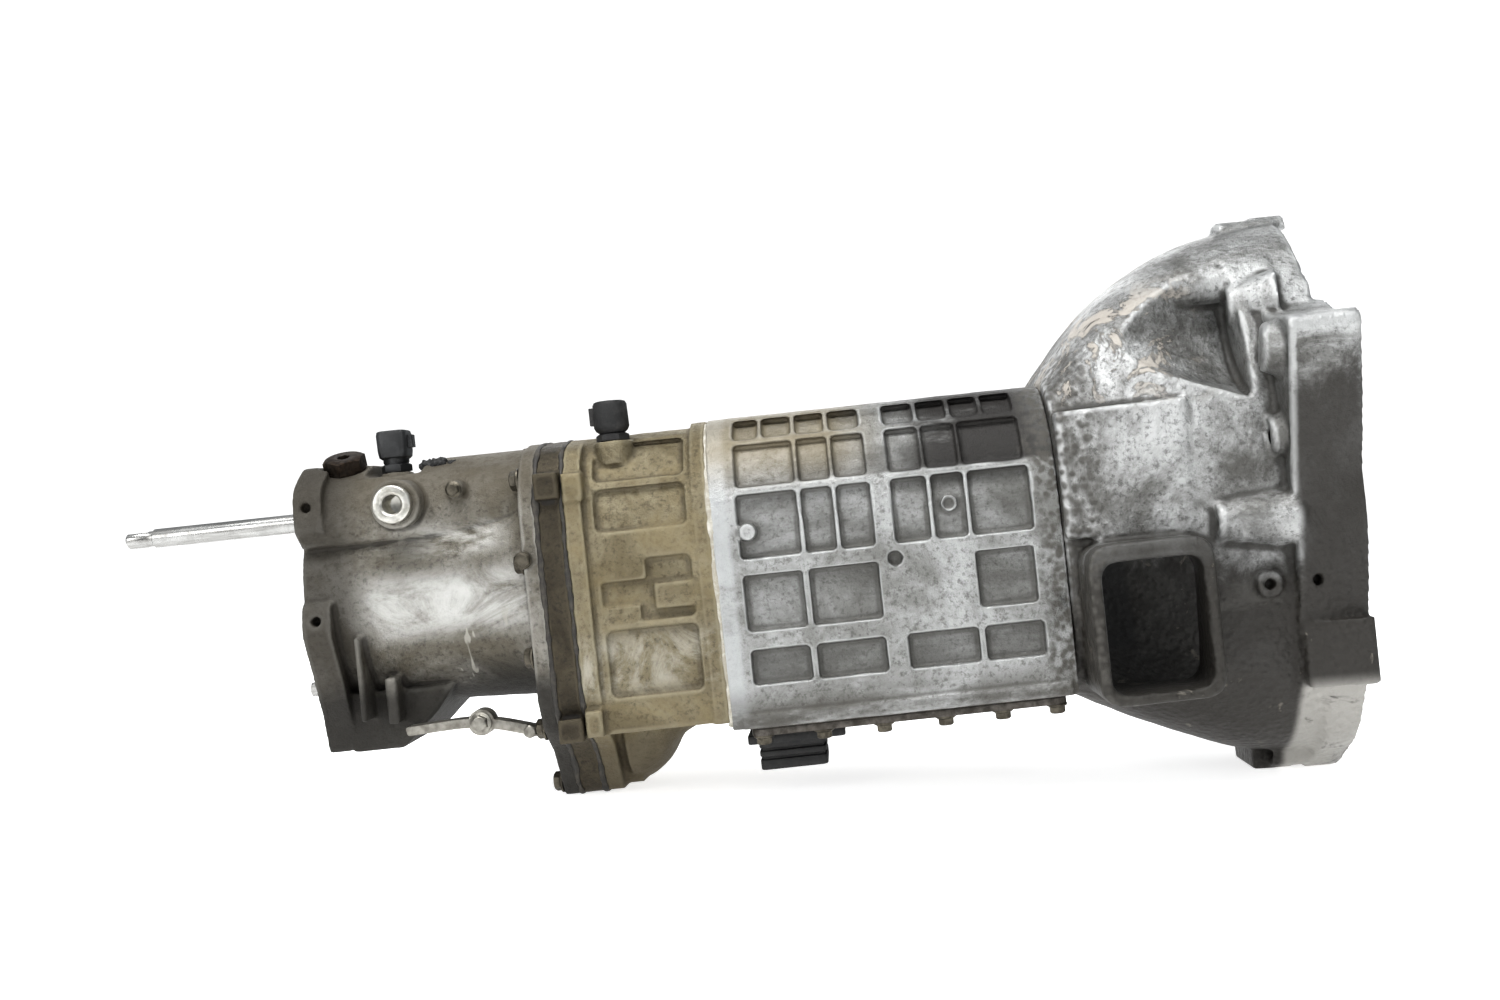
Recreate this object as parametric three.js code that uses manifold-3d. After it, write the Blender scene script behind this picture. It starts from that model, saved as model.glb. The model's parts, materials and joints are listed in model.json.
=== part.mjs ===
// Five-speed longitudinal manual transmission for a four-wheel-drive vehicle.
// Millimetres. +X runs along the shafts towards the engine, +Z is up, and -Y is the side with the
// release-fork window. The origin is the nose of the input shaft, level with the engine face.
import * as THREE from 'three';
import { mergeVertices } from 'three/addons/utils/BufferGeometryUtils.js';
import Module from 'manifold-3d';

const wasm = await Module();
wasm.setup();

// ---------------------------------------------------------------- driving dimensions
const GAP = 0.3; // clearance between neighbouring pieces
const ROUND = 18; // sides of a large round piece

// stations along the shafts, from the engine backwards
const BELL_REAR = -192;
const CASE_FRONT = BELL_REAR - GAP;
const CASE_REAR = -427;
const MIDDLE_FRONT = CASE_REAR - GAP;
const MIDDLE_REAR = -525;
const PLATE_FRONT = MIDDLE_REAR - GAP;
const PLATE_REAR = -542.5;
const TAIL_FRONT = PLATE_REAR - GAP;
const TAIL_REAR = -713;
const BELL_WALL = 12;
const BELL_SKIN = 6;
const CASE_FRONT_WALL = 18;
const CASE_REAR_WALL = 20;

// gear train
const MODULE = 3.3;
const CENTRE_DISTANCE = 20 * MODULE; // every pair has 40 teeth
const COUNTER_Z = -CENTRE_DISTANCE;
const TEETH = {
  input: 16, counterInput: 24,
  third: 19, counterThird: 21,
  second: 24, counterSecond: 16,
  first: 28, counterFirst: 12,
  fifth: 14, counterFifth: 26,
  reverse: 24, counterReverse: 11, idler: 12,
};
const INPUT_GEAR = [-238, -216];
const THIRD_GEAR = [-304, -282];
const SECOND_GEAR = [-330, -308];
const FIRST_GEAR = [-398, -374];
const REVERSE_GEAR = [-448, -432];
const FIFTH_GEAR = [-503, -488];
const DOG_WIDTH = 5;
const DOG_RADIUS = 28;
const HUB_RADIUS = 30;
const SLEEVE_BORE = 30.4;
const SLEEVE_RADIUS = 39;
const GROOVE_RADIUS = 34;
const GROOVE_WIDTH = 7;
const HUB_34 = [-272, -248];
const HUB_12 = [-364, -340];
const HUB_5R = [-478, -458];
const MAIN_RADIUS = 17;
const COUNTER_RADIUS = 14;
const COUNTER_REAR_RADIUS = 11;

// shift rails and control rod
const RAIL_RADIUS = 5.5;
const RAIL_Z = 72;
const RAIL_Y = { thirdFourth: -22, firstSecond: 0, fifthReverse: 22 };
const RAIL_FRONT = -204;
const RAIL_REAR = -568;
const GATE_PITCH = 9;
const ROD_RADIUS = 7;
const ROD_Z = 54;
const ROD_FRONT = -554;
const ROD_TIP = -862;

// where the two upright switches stand, as [x, y]
const LAMP_SWITCH = [-491, -58];
const NEUTRAL_SWITCH = [-652, -26];

// bearings: bore radius, outer radius
const INPUT_BEARING_RADII = [18, 38];
const MAIN_BEARING_RADII = [MAIN_RADIUS + GAP, 35];
const COUNTER_BEARING_RADII = [COUNTER_REAR_RADIUS + GAP, 26];

// casings
const CASE_HALF_WIDTH = 90;
const CASE_TOP = 95;
const CASE_BOTTOM = -118;
const RIB_HEIGHT = 5;
const CASE_WALL = 9;
const COVER_THICKNESS = 4.5;
const GASKET_THICKNESS = 1;

// ---------------------------------------------------------------- solids and curves
function toSolid(geometry) {
  geometry.deleteAttribute('normal');
  geometry.deleteAttribute('uv');
  const merged = mergeVertices(geometry, 1e-4);
  const vertProperties = new Float32Array(merged.attributes.position.array);
  const triVerts = new Uint32Array(merged.index.array);
  return new wasm.Manifold(new wasm.Mesh({ numProp: 3, vertProperties, triVerts }));
}

function toGeometry(solid) {
  const mesh = solid.getMesh();
  const geometry = new THREE.BufferGeometry();
  geometry.setAttribute('position', new THREE.BufferAttribute(new Float32Array(mesh.vertProperties), 3));
  geometry.setIndex(new THREE.BufferAttribute(new Uint32Array(mesh.triVerts), 1));
  geometry.computeVertexNormals();
  return geometry;
}

function union(solids) {
  return solids.reduce((sum, solid) => sum.add(solid));
}

function cut(solid, tools) {
  return tools.reduce((rest, tool) => rest.subtract(tool), solid);
}

function box(x, y, z) {
  const geometry = new THREE.BoxGeometry(x[1] - x[0], y[1] - y[0], z[1] - z[0]);
  geometry.translate((x[0] + x[1]) / 2, (y[0] + y[1]) / 2, (z[0] + z[1]) / 2);
  return toSolid(geometry);
}

// A cylinder or cone from x[0] to x[1] along the shafts.
function rod(x, radius, y = 0, z = 0, sides = 18, rearRadius = radius) {
  const geometry = new THREE.CylinderGeometry(radius, rearRadius, x[1] - x[0], sides);
  geometry.rotateZ(-Math.PI / 2);
  geometry.translate((x[0] + x[1]) / 2, y, z);
  return toSolid(geometry);
}

function tube(x, inner, outer, y = 0, z = 0, sides = ROUND) {
  const reach = [x[0] - 1, x[1] + 1];
  return rod(x, outer, y, z, sides).subtract(rod(reach, inner, y, z, sides));
}

// A cylinder between two points, for plugs and bosses that point sideways or up.
function pin(from, to, radius, sides = 16, endRadius = radius) {
  const start = new THREE.Vector3(...from);
  const end = new THREE.Vector3(...to);
  const along = end.clone().sub(start);
  const geometry = new THREE.CylinderGeometry(endRadius, radius, along.length(), sides);
  geometry.applyQuaternion(
    new THREE.Quaternion().setFromUnitVectors(new THREE.Vector3(0, 1, 0), along.clone().normalize()),
  );
  geometry.translate((start.x + end.x) / 2, (start.y + end.y) / 2, (start.z + end.z) / 2);
  return toSolid(geometry);
}

// A closed outline through [a, b, corner radius] points.
function outline(points) {
  const shape = new THREE.Shape();
  const count = points.length;
  points.forEach(([a, b, radius = 0], i) => {
    const here = new THREE.Vector2(a, b);
    const before = new THREE.Vector2(...points[(i + count - 1) % count].slice(0, 2)).sub(here);
    const after = new THREE.Vector2(...points[(i + 1) % count].slice(0, 2)).sub(here);
    const start = here.clone().add(before.setLength(radius));
    const end = here.clone().add(after.setLength(radius));
    if (i === 0) shape.moveTo(start.x, start.y);
    else shape.lineTo(start.x, start.y);
    if (radius > 0) shape.quadraticCurveTo(a, b, end.x, end.y);
  });
  shape.closePath();
  return shape;
}

function extrude(shape, depth, curveSegments) {
  return new THREE.ExtrudeGeometry(shape, { depth, bevelEnabled: false, curveSegments });
}

// The shape's first axis is Y and its second Z, extruded along X.
function prismX(shape, x, curveSegments = 4) {
  const geometry = extrude(shape, x[1] - x[0], curveSegments);
  geometry.applyMatrix4(new THREE.Matrix4().set(0, 0, 1, x[0], 1, 0, 0, 0, 0, 1, 0, 0, 0, 0, 0, 1));
  return toSolid(geometry);
}

// The shape's first axis is X and its second Z, extruded along Y.
function prismY(shape, y, curveSegments = 2) {
  const geometry = extrude(shape, y[1] - y[0], curveSegments);
  geometry.applyMatrix4(new THREE.Matrix4().set(1, 0, 0, 0, 0, 0, -1, y[1], 0, 1, 0, 0, 0, 0, 0, 1));
  return toSolid(geometry);
}

// The shape's axes are X and Y, extruded along Z.
function prismZ(shape, z, curveSegments = 3) {
  const geometry = extrude(shape, z[1] - z[0], curveSegments);
  geometry.translate(0, 0, z[0]);
  return toSolid(geometry);
}

function roundedRectangle(a, b, radius) {
  return outline([[a[0], b[0], radius], [a[1], b[0], radius], [a[1], b[1], radius], [a[0], b[1], radius]]);
}

// Mirrors a near-side half outline, listed from top centre to bottom centre, to the far side.
function mirrored(half) {
  const far = half.filter(([y]) => y < 0).map(([y, z, radius]) => [-y, z, radius]);
  return outline([...half, ...far.reverse()]);
}

// A round-cornered section at one station of a lofted shell.
function sectionPoint(station, angle) {
  const c = Math.cos(angle);
  const s = Math.sin(angle);
  const squareness = 2 / station.power;
  const width = c < 0 ? station.near : station.far;
  const height = s > 0 ? station.top : station.bottom;
  return [
    station.x,
    width * Math.sign(c) * Math.abs(c) ** squareness,
    (station.z ?? 0) + height * Math.sign(s) * Math.abs(s) ** squareness,
  ];
}

// A skin through stations listed from the front backwards: a cylinder whose rings are moved onto them.
function loft(stations, sides = 28) {
  const spans = stations.length - 1;
  const geometry = new THREE.CylinderGeometry(1, 1, 1, sides, spans);
  const position = geometry.attributes.position;
  for (let i = 0; i < position.count; i += 1) {
    const station = stations[Math.round((0.5 - position.getY(i)) * spans)];
    const across = Math.hypot(position.getX(i), position.getZ(i));
    const angle = Math.atan2(position.getX(i), position.getZ(i));
    if (across < 0.5) position.setXYZ(i, station.x, 0, station.z ?? 0);
    else position.setXYZ(i, ...sectionPoint(station, angle));
  }
  return toSolid(geometry);
}

// ---------------------------------------------------------------- scene
const transmission = new THREE.Group();

const FINISH = {
  castBright: { color: 0x9a9a96, roughness: 0.5, metalness: 0.8 },
  castBrown: { color: 0x7d7155, roughness: 0.65, metalness: 0.5 },
  castDark: { color: 0x4a463d, roughness: 0.7, metalness: 0.5 },
  castBell: { color: 0x6f6e69, roughness: 0.6, metalness: 0.6 },
  steel: { color: 0x8d8f92, roughness: 0.3, metalness: 1 },
  gear: { color: 0x75777a, roughness: 0.35, metalness: 1 },
  brass: { color: 0xb08d4a, roughness: 0.4, metalness: 1 },
  zinc: { color: 0xb9b8ac, roughness: 0.35, metalness: 1 },
  rusty: { color: 0x4b3a2c, roughness: 0.85, metalness: 0.3 },
  rubber: { color: 0x1b1b1b, roughness: 0.8, metalness: 0 },
  plastic: { color: 0x202223, roughness: 0.5, metalness: 0 },
  gasket: { color: 0x3a3630, roughness: 0.9, metalness: 0 },
};

function add(name, solid, finish, parent = transmission) {
  const mesh = new THREE.Mesh(toGeometry(solid), new THREE.MeshStandardMaterial(FINISH[finish]));
  mesh.name = name;
  parent.add(mesh);
}

// ---------------------------------------------------------------- clutch housing
const WINDOW_X = [-177, -111];
const WINDOW_Z = [-116, -30];
const WINDOW_FACE = -134;
const RETAINER_BORE = 50;
const COUNTER_COVER_BORE = 30;

function bellStations(wall) {
  const stations = [
    { x: -10, top: 188, bottom: 188, near: 121, far: 146, power: 2.6 },
    { x: -75, top: 182, bottom: 179, near: 120, far: 140, power: 2.7 },
    { x: -110, top: 170, bottom: 165, near: 114, far: 130, power: 2.8 },
    { x: -148, top: 146, bottom: 148, near: 104, far: 112, power: 3.1 },
    { x: -180, top: 110, bottom: 131, near: 92, far: 94, power: 3.7 },
    { x: BELL_REAR, top: 96, bottom: 124, near: 90, far: 90, power: 4.5 },
  ];
  return stations.map((s) => ({
    ...s, top: s.top - wall, bottom: s.bottom - wall, near: s.near - wall, far: s.far - wall,
  }));
}

// Points run from the top centre down the near side and back up the far side.
const ENGINE_FLANGE = outline([
  [0, 201, 0], [-22, 200, 8], [-30, 166, 12], [-66, 138, 10], [-108, 119, 8], [-152, 115, 10],
  [-138, 57, 14], [-123, 6, 14], [-126, -20, 14], [-112, -73, 12], [-91, -134, 10], [-14, -200, 5],
  [46, -201, 12], [112, -150, 18], [146, -90, 20], [158, -20, 20], [160, 50, 22], [140, 116, 22],
  [104, 152, 20], [60, 182, 20],
]);

const FLANGE_DEPTH = 46;
const FLANGE_BORE = 6.2;
// [y, z, rear end of the boss, radius]
const FLANGE_BOSSES = [
  [-15, 184, -50, 15], [-62, 148, -96, 12], [-72, 134, -58, 14], [-120, 100, -52, 15],
  [-112, 40, -52, 12], [-106, -12, -94, 14], [-78, -118, -52, 14], [-18, -182, -50, 14],
  [56, -178, -50, 15], [128, -100, -50, 15], [142, 20, -50, 15], [122, 110, -50, 15], [60, 164, -50, 15],
];

// The starter's nose lies in a scoop in the near upper side of the dome.
function starterScoop() {
  return rod([-132, -66], 44, -104, 122, 28, 34);
}

function clutchHousing() {
  const dome = loft(bellStations(0));
  const flange = prismX(ENGINE_FLANGE, [-FLANGE_DEPTH, 0], 2);
  const bosses = FLANGE_BOSSES.map(([y, z, rear, radius]) => rod([rear, -8], radius, y, z, 10));
  const sidePad = prismY(
    outline([[-190, -16, 4], [-118, -16, 14], [-104, 30, 18], [-118, 74, 10], [-190, 74, 3]]), [-99, -60],
  );
  const windowRim = prismY(
    roundedRectangle([WINDOW_X[0] - 8, WINDOW_X[1] + 8], [WINDOW_Z[0] - 7, WINDOW_Z[1] + 12], 16),
    [WINDOW_FACE, -60], 4,
  );
  const belly = box([-60, -30], [-12, 40], [-199, -160]);
  const outer = union([
    cut(dome, [starterScoop()]), flange, ...bosses.slice(0, 1), sidePad, windowRim, belly,
    ...bosses.slice(1),
  ]);
  const cavity = loft(bellStations(BELL_SKIN), 18);
  const cavityFront = box([BELL_REAR + BELL_WALL, 10], [-200, 200], [-220, 220]);
  const scoopWall = rod([-136, -60], 51, -104, 122, 28, 41);
  const hollow = cavity.intersect(cavityFront).subtract(scoopWall);
  const front = bellStations(BELL_SKIN)[0];
  const mouth = loft([{ ...front, x: 2 }, { ...front, x: front.x - 0.1 }], 18);
  const bores = FLANGE_BOSSES.map(([y, z, rear]) => rod([rear - 2, 2], FLANGE_BORE, y, z, 6));
  const window = prismY(roundedRectangle(WINDOW_X, WINDOW_Z, 11), [WINDOW_FACE - 2, -50], 4);
  const tappedHoles = [[-64, -56], [-33, -56]].map(([x, z]) => pin([x, -140, z], [x, -104, z], 3.4, 10));
  return cut(outer, [
    hollow, mouth, window, ...bores, ...tappedHoles,
    rod([BELL_REAR - 2, BELL_REAR + BELL_WALL + 2], RETAINER_BORE, 0, 0, ROUND),
    rod([BELL_REAR - 2, BELL_REAR + BELL_WALL + 2], COUNTER_COVER_BORE, 0, COUNTER_Z, 18),
  ]);
}

// ---------------------------------------------------------------- main case
function caseShape(inset, halfWidth = CASE_HALF_WIDTH, top = CASE_TOP, bottom = CASE_BOTTOM) {
  const y = halfWidth - inset;
  const z = top - inset;
  const shoulder = 20;
  const crown = 30;
  const shape = new THREE.Shape();
  shape.moveTo(-y, bottom);
  shape.lineTo(y, bottom);
  shape.lineTo(y, shoulder);
  shape.bezierCurveTo(y, shoulder + 38, y - 24, z, crown, z);
  shape.lineTo(-crown, z);
  shape.bezierCurveTo(24 - y, z, -y, shoulder + 38, -y, shoulder);
  shape.closePath();
  return shape;
}

// Rows of pockets between the ribs: the height of each row, and where its cells start and end.
const POCKET_ROWS = [
  { z: [77, 91], cells: [[-408, -391], [-388, -368], [-365, -345], [-342, -321],
    [-304, -283], [-280, -260], [-257, -238], [-235, -214]] },
  { z: [44, 73], cells: [[-408, -368], [-365, -344], [-341, -319], [-304, -282], [-279, -257], [-254, -213]] },
  { z: [-4, 39], cells: [[-409, -368], [-365, -344], [-341, -318], [-304, -280], [-277, -255], [-252, -211]] },
  { z: [-53, -15], cells: [[-409, -369], [-365, -318], [-252, -213]] },
  { z: [-89, -66], cells: [[-409, -369], [-365, -318], [-303, -255], [-251, -211]] },
];

// Every row is on the near side, and the rows of the upright wall are on the far side too.
function pocketCutters() {
  const cutters = [];
  for (const { z, cells } of POCKET_ROWS) {
    for (const cell of cells) {
      cutters.push(box(cell, [-100, -20], z));
      if (z[1] < 40) cutters.push(box(cell, [20, 100], z));
    }
  }
  return union(cutters);
}

function railBores(x) {
  return Object.values(RAIL_Y).map((y) => rod(x, RAIL_RADIUS + 0.4, y, RAIL_Z, 14));
}

function mainCase() {
  const length = [CASE_REAR, CASE_FRONT];
  const outer = prismX(caseShape(0), length, 4);
  const pocketFloor = prismX(caseShape(RIB_HEIGHT), [CASE_REAR - 2, CASE_FRONT + 2], 4);
  const footFlange = box([-419, -196], [-92, 92], [CASE_BOTTOM, CASE_BOTTOM + 9]);
  const chamberX = [CASE_REAR + CASE_REAR_WALL, CASE_FRONT - CASE_FRONT_WALL];
  const chamber = prismX(caseShape(CASE_WALL, CASE_HALF_WIDTH, CASE_TOP, CASE_BOTTOM + 12), chamberX, 4);
  const coverOpening = box([chamberX[0] + 4, chamberX[1] - 4], [-72, 72], [CASE_BOTTOM - 2, CASE_BOTTOM + 14]);
  const frontWall = [CASE_FRONT - CASE_FRONT_WALL - 2, CASE_FRONT + 2];
  const rearWall = [CASE_REAR - 2, CASE_REAR + CASE_REAR_WALL + 2];
  const padDimple = pin([-306, -96, -14], [-306, -86, -14], 5, 10);
  const roundBoss = pin([-403, -94, 14], [-403, -84, 14], 5.5, 12);
  const fillerBoss = pin([-290, 80, -34], [-290, 96, -34], 17, 16);
  return cut(
    union([outer.subtract(pocketCutters().subtract(pocketFloor)), footFlange, roundBoss, fillerBoss]),
    [
      chamber, coverOpening, padDimple,
      pin([-290, 76, -34], [-290, 98, -34], 11, 14),
      rod(frontWall, INPUT_BEARING_RADII[1] + GAP, 0, 0, ROUND),
      rod(rearWall, MAIN_BEARING_RADII[1] + GAP, 0, 0, ROUND),
      rod(frontWall, COUNTER_BEARING_RADII[1] + GAP, 0, COUNTER_Z, 18),
      rod(rearWall, COUNTER_BEARING_RADII[1] + GAP, 0, COUNTER_Z, 18),
      ...railBores(frontWall), ...railBores(rearWall),
      rod(rearWall, IDLER_SHAFT_RADIUS + GAP, IDLER_Y, IDLER_Z, 12),
    ],
  );
}

// ---------------------------------------------------------------- reverse idler position
const pitchRadius = (teeth) => (teeth * MODULE) / 2;
const IDLER_TO_MAIN = pitchRadius(TEETH.reverse) + pitchRadius(TEETH.idler);
const IDLER_TO_COUNTER = pitchRadius(TEETH.counterReverse) + pitchRadius(TEETH.idler);
const IDLER_Z = (IDLER_TO_COUNTER ** 2 - IDLER_TO_MAIN ** 2 - COUNTER_Z ** 2) / (-2 * COUNTER_Z);
const IDLER_Y = Math.sqrt(IDLER_TO_MAIN ** 2 - IDLER_Z ** 2);
const IDLER_SHAFT_RADIUS = 8;

// ---------------------------------------------------------------- sandwich flange outline
const SANDWICH_HALF = [
  [0, 91, 0], [-34, 91, 8], [-70, 84, 14], [-90, 56, 14], [-93, 20, 8], [-93, -86, 10], [-82, -108, 10],
  [-56, -126, 12], [-44, -150, 8], [-36, -159, 4], [0, -159, 0],
];

// ---------------------------------------------------------------- intermediate housing
function intermediateHousing() {
  const length = [MIDDLE_REAR, MIDDLE_FRONT];
  const body = prismX(caseShape(0, 88, 91, -112), length, 4);
  const panelFloor = prismX(caseShape(4, 88, 91, -140), [MIDDLE_REAR - 2, MIDDLE_FRONT + 2], 4);
  const panelX = [-505, -443];
  const panels = [[58, 84], [24, 53], [-38, 4], [-88, -43]].flatMap((z) => {
    const panel = roundedRectangle(panelX, z, 4);
    return [prismY(panel, [-100, -20], 1), prismY(panel, [20, 100], 1)];
  });
  const stepBlocks = [
    box([-470, -441], [-87.4, -80.5], [-31, -14]), box([-508, -474], [-87.2, -80.6], [-10, 7]),
    box([-508, -480], [-86.8, -80.7], [-41, -27]),
  ];
  const rearFlange = prismX(mirrored(SANDWICH_HALF), [MIDDLE_REAR, MIDDLE_REAR + 13], 2);
  const frontFlange = prismX(caseShape(-1.5, 88, 93, -113), [MIDDLE_FRONT - 11, MIDDLE_FRONT], 4);
  const sump = prismX(
    mirrored([[0, -60, 0], [-60, -60, 4], [-56, -112, 8], [-38, -140, 10], [-30, -157, 6], [0, -157, 0]]),
    [MIDDLE_REAR, -499], 3,
  );
  const sumpNose = loft([
    { x: -448, z: -108, top: 10, bottom: 9, near: 40, far: 40, power: 2.8 },
    { x: -469, z: -108, top: 10, bottom: 20, near: 48, far: 48, power: 2.8 },
    { x: -481, z: -108, top: 10, bottom: 37, near: 54, far: 54, power: 2.6 },
    { x: -495, z: -108, top: 10, bottom: 47, near: 57, far: 57, power: 2.4 },
    { x: -506, z: -108, top: 10, bottom: 48, near: 57, far: 57, power: 2.4 },
  ], 24);
  const switchBoss = pin([...LAMP_SWITCH, 70], [...LAMP_SWITCH, 86], 13, 16);
  const switchSeat = pin([...LAMP_SWITCH, 86], [...LAMP_SWITCH, 110], 14, 16);
  const upperLugs = union([box([-524, -510], [-92, -78], [48, 66]), box([-524, -512], [-95, -80], [-112, -94])]);
  const outer = union([
    cut(body, panels.map((panel) => panel.subtract(panelFloor))),
    ...stepBlocks, rearFlange, frontFlange, sump, sumpNose, switchBoss, upperLugs,
  ]);
  const inside = [MIDDLE_REAR - 2, MIDDLE_FRONT + 2];
  const chamber = prismX(caseShape(CASE_WALL, 88, 91, -104), inside, 4);
  const gearWell = prismX(
    mirrored([[0, -80, 0], [-46, -80, 4], [-43, -106, 8], [-26, -119, 8], [0, -119, 0]]),
    [MIDDLE_REAR - 2, -485], 2,
  );
  const sumpChamber = prismX(
    mirrored([[0, -90, 0], [-40, -90, 4], [-38, -112, 8], [-28, -134, 8], [-22, -148, 4], [0, -148, 0]]),
    [MIDDLE_REAR - 2, -507], 2,
  );
  const switchBore = pin([...LAMP_SWITCH, 60], [...LAMP_SWITCH, 88], 7.4, 14);
  return cut(outer, [chamber, gearWell, sumpChamber, switchSeat, switchBore]);
}

// ---------------------------------------------------------------- bearing plate
function bearingPlate() {
  const thickness = [PLATE_REAR, PLATE_FRONT];
  const through = [PLATE_REAR - 1, PLATE_FRONT + 1];
  const plate = union([
    prismX(mirrored(SANDWICH_HALF), thickness, 2),
    box([PLATE_REAR, PLATE_FRONT], [-95, -80], [50, 68]),
    box([PLATE_REAR, PLATE_FRONT], [-96, -80], [-114, -98]),
  ]);
  return cut(plate, [
    rod(through, MAIN_BEARING_RADII[1] + GAP, 0, 0, ROUND),
    rod(through, COUNTER_BEARING_RADII[1] + GAP, 0, COUNTER_Z, 18),
    ...railBores(through),
  ]);
}

// ---------------------------------------------------------------- extension housing
const OUTPUT_BORE = 34;
const TAIL_FLANGE_DEPTH = 20;

function extensionHousing() {
  const flange = prismX(mirrored(SANDWICH_HALF), [TAIL_FRONT - 12, TAIL_FRONT], 2);
  const barrel = loft([
    { x: TAIL_FRONT, top: 84, bottom: 92, near: 86, far: 86, power: 2.5 },
    { x: -575, top: 70, bottom: 88, near: 79, far: 79, power: 2.3 },
    { x: TAIL_REAR, top: 60, bottom: 82, near: 67, far: 67, power: 2.2 },
  ], 24);
  const tunnel = prismX(
    mirrored([[0, 89, 0], [-34, 89, 12], [-62, 74, 14], [-70, 50, 6], [-68, 34, 5], [0, 30, 0]]),
    [TAIL_REAR + 2, TAIL_FRONT], 4,
  );
  const tailFlange = prismX(
    mirrored([
      [0, 91, 0], [-44, 91, 8], [-70, 74, 10], [-73, 44, 6], [-56, 34, 6], [-49, 18, 8], [-54, 2, 6],
      [-74, -4, 8], [-79, -24, 8], [-64, -60, 8], [-54, -90, 4], [-50, -110, 3], [0, -110, 0],
    ]),
    [TAIL_REAR, TAIL_REAR + TAIL_FLANGE_DEPTH], 2,
  );
  const foot = prismY(
    outline([[-712, -70], [-712, -99, 2], [-697, -101, 2], [-695, -111, 2], [-660, -111, 3], [-634, -88, 6],
      [-620, -70]]), [-52, 52],
  );
  const sideRib = box([-680, -676], [-74, -40], [-88, -30]);
  const rearRib = box([-664, -656], [-68, -40], [-92, -60]);
  const portBoss = pin([-640, -50, 58], [-640, -80, 58], 17, 18);
  const pinBoss = pin([-600, -55, 64], [-600, -76, 64], 6, 12);
  const plugBoss = pin([-686, -26, 70], [-686, -34, 90], 15, 16);
  const switchBoss = pin([...NEUTRAL_SWITCH, 70], [...NEUTRAL_SWITCH, 82], 11, 14);
  const switchDeck = box([-668, -628], [-80, 80], [79, 100]);
  const bosses = [portBoss, pinBoss, plugBoss];
  const body = union([flange, barrel, tunnel, tailFlange, foot, sideRib, rearRib, ...bosses]);
  const outer = cut(body, [switchDeck]).add(switchBoss);
  const chamber = loft([
    { x: TAIL_FRONT + 1, top: 76, bottom: 84, near: 78, far: 78, power: 2.5 },
    { x: -575, top: 62, bottom: 80, near: 71, far: 71, power: 2.3 },
    { x: -692, top: 53, bottom: 75, near: 60, far: 60, power: 2.2 },
  ], 20);
  const tunnelChamber = prismX(
    mirrored([[0, 82, 0], [-30, 82, 10], [-52, 68, 12], [-58, 44, 5], [0, 30, 0]]), [-621, TAIL_FRONT + 1], 4,
  );
  const deckChamber = prismX(
    mirrored([[0, 71, 0], [-42, 71, 8], [-54, 60, 5], [-58, 44, 5], [0, 30, 0]]), [-668, -620], 4,
  );
  return cut(outer, [
    chamber, tunnelChamber, deckChamber,
    rod([TAIL_REAR - 2, -680], OUTPUT_BORE, 0, 0, ROUND),
    rod([TAIL_REAR - 2, -660], ROD_RADIUS + 0.5, 0, ROD_Z, 16),
    rod([TAIL_REAR - 2, -694], 5.3, -38, -65, 12),
    pin([-640, -90, 58], [-640, -40, 58], 9.3, 16),
    pin([...NEUTRAL_SWITCH, 60], [...NEUTRAL_SWITCH, 86], 6.3, 14),
    pin([-686, -22, 60], [-686, -35, 92.5], 9.3, 14),
    pin([-686, -32.68, 86.7], [-686, -50, 130], 17, 14),
    pin([-704, -80, 62], [-704, -64, 62], 3.5, 10),
    pin([-703, -84, -16], [-703, -68, -16], 3.5, 10),
  ]);
}

// ---------------------------------------------------------------- covers, plugs and switches
function underCover() {
  const top = CASE_BOTTOM - GASKET_THICKNESS - 2 * GAP;
  const plate = prismZ(roundedRectangle([-415, -200], [-86, 86], 10), [top - COVER_THICKNESS, top]);
  const dish = prismZ(roundedRectangle([-398, -217], [-66, 66], 12), [top - COVER_THICKNESS - 3, top - 2]);
  const hollow = prismZ(roundedRectangle([-394, -221], [-62, 62], 10), [top - COVER_THICKNESS, top + 1]);
  const drainHole = pin([-300, 20, -140], [-300, 20, -110], 9.3, 14);
  return cut(plate.add(dish), [hollow, drainHole]);
}

function underCoverGasket() {
  const top = CASE_BOTTOM - GAP;
  return cut(prismZ(roundedRectangle([-415, -200], [-86, 86], 10), [top - GASKET_THICKNESS, top]), [
    prismZ(roundedRectangle([-400, -215], [-70, 70], 8), [top - 5, top + 2]),
  ]);
}

function supportBlock() {
  const top = CASE_BOTTOM - GASKET_THICKNESS - COVER_THICKNESS - 3 - 3 * GAP;
  const block = prismZ(roundedRectangle([-413, -366], [-58, -12], 4), [top - 25, top]);
  const foot = prismZ(roundedRectangle([-420, -352], [-62, -8], 3), [top - 6, top]);
  return block.add(foot);
}

function retainer() {
  const flangeX = [CASE_FRONT + GAP, CASE_FRONT + 9];
  return cut(
    union([
      rod(flangeX, 48, 0, 0, ROUND),
      rod([CASE_FRONT + 8, CASE_FRONT + 22], 28, 0, 0, 24, 30),
      rod([CASE_FRONT + 20, -118], 22, 0, 0, 18),
    ]),
    [rod([CASE_FRONT - 2, -148], 18, 0, 0, 18), rod([-149, -110], 16, 0, 0, 18)],
  );
}

function bearing(x, radii, z) {
  return tube(x, radii[0], radii[1], 0, z, 18);
}

function hexPrism(from, to, acrossFlats) {
  return pin(from, to, acrossFlats / Math.sqrt(3), 6);
}

function interlockPlug() {
  return union([
    pin([-686, -25, 67.5], [-686, -33, 87.5], 9, 14),
    hexPrism([-686, -32.8, 87], [-686, -36.8, 97], 26),
  ]);
}

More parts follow.
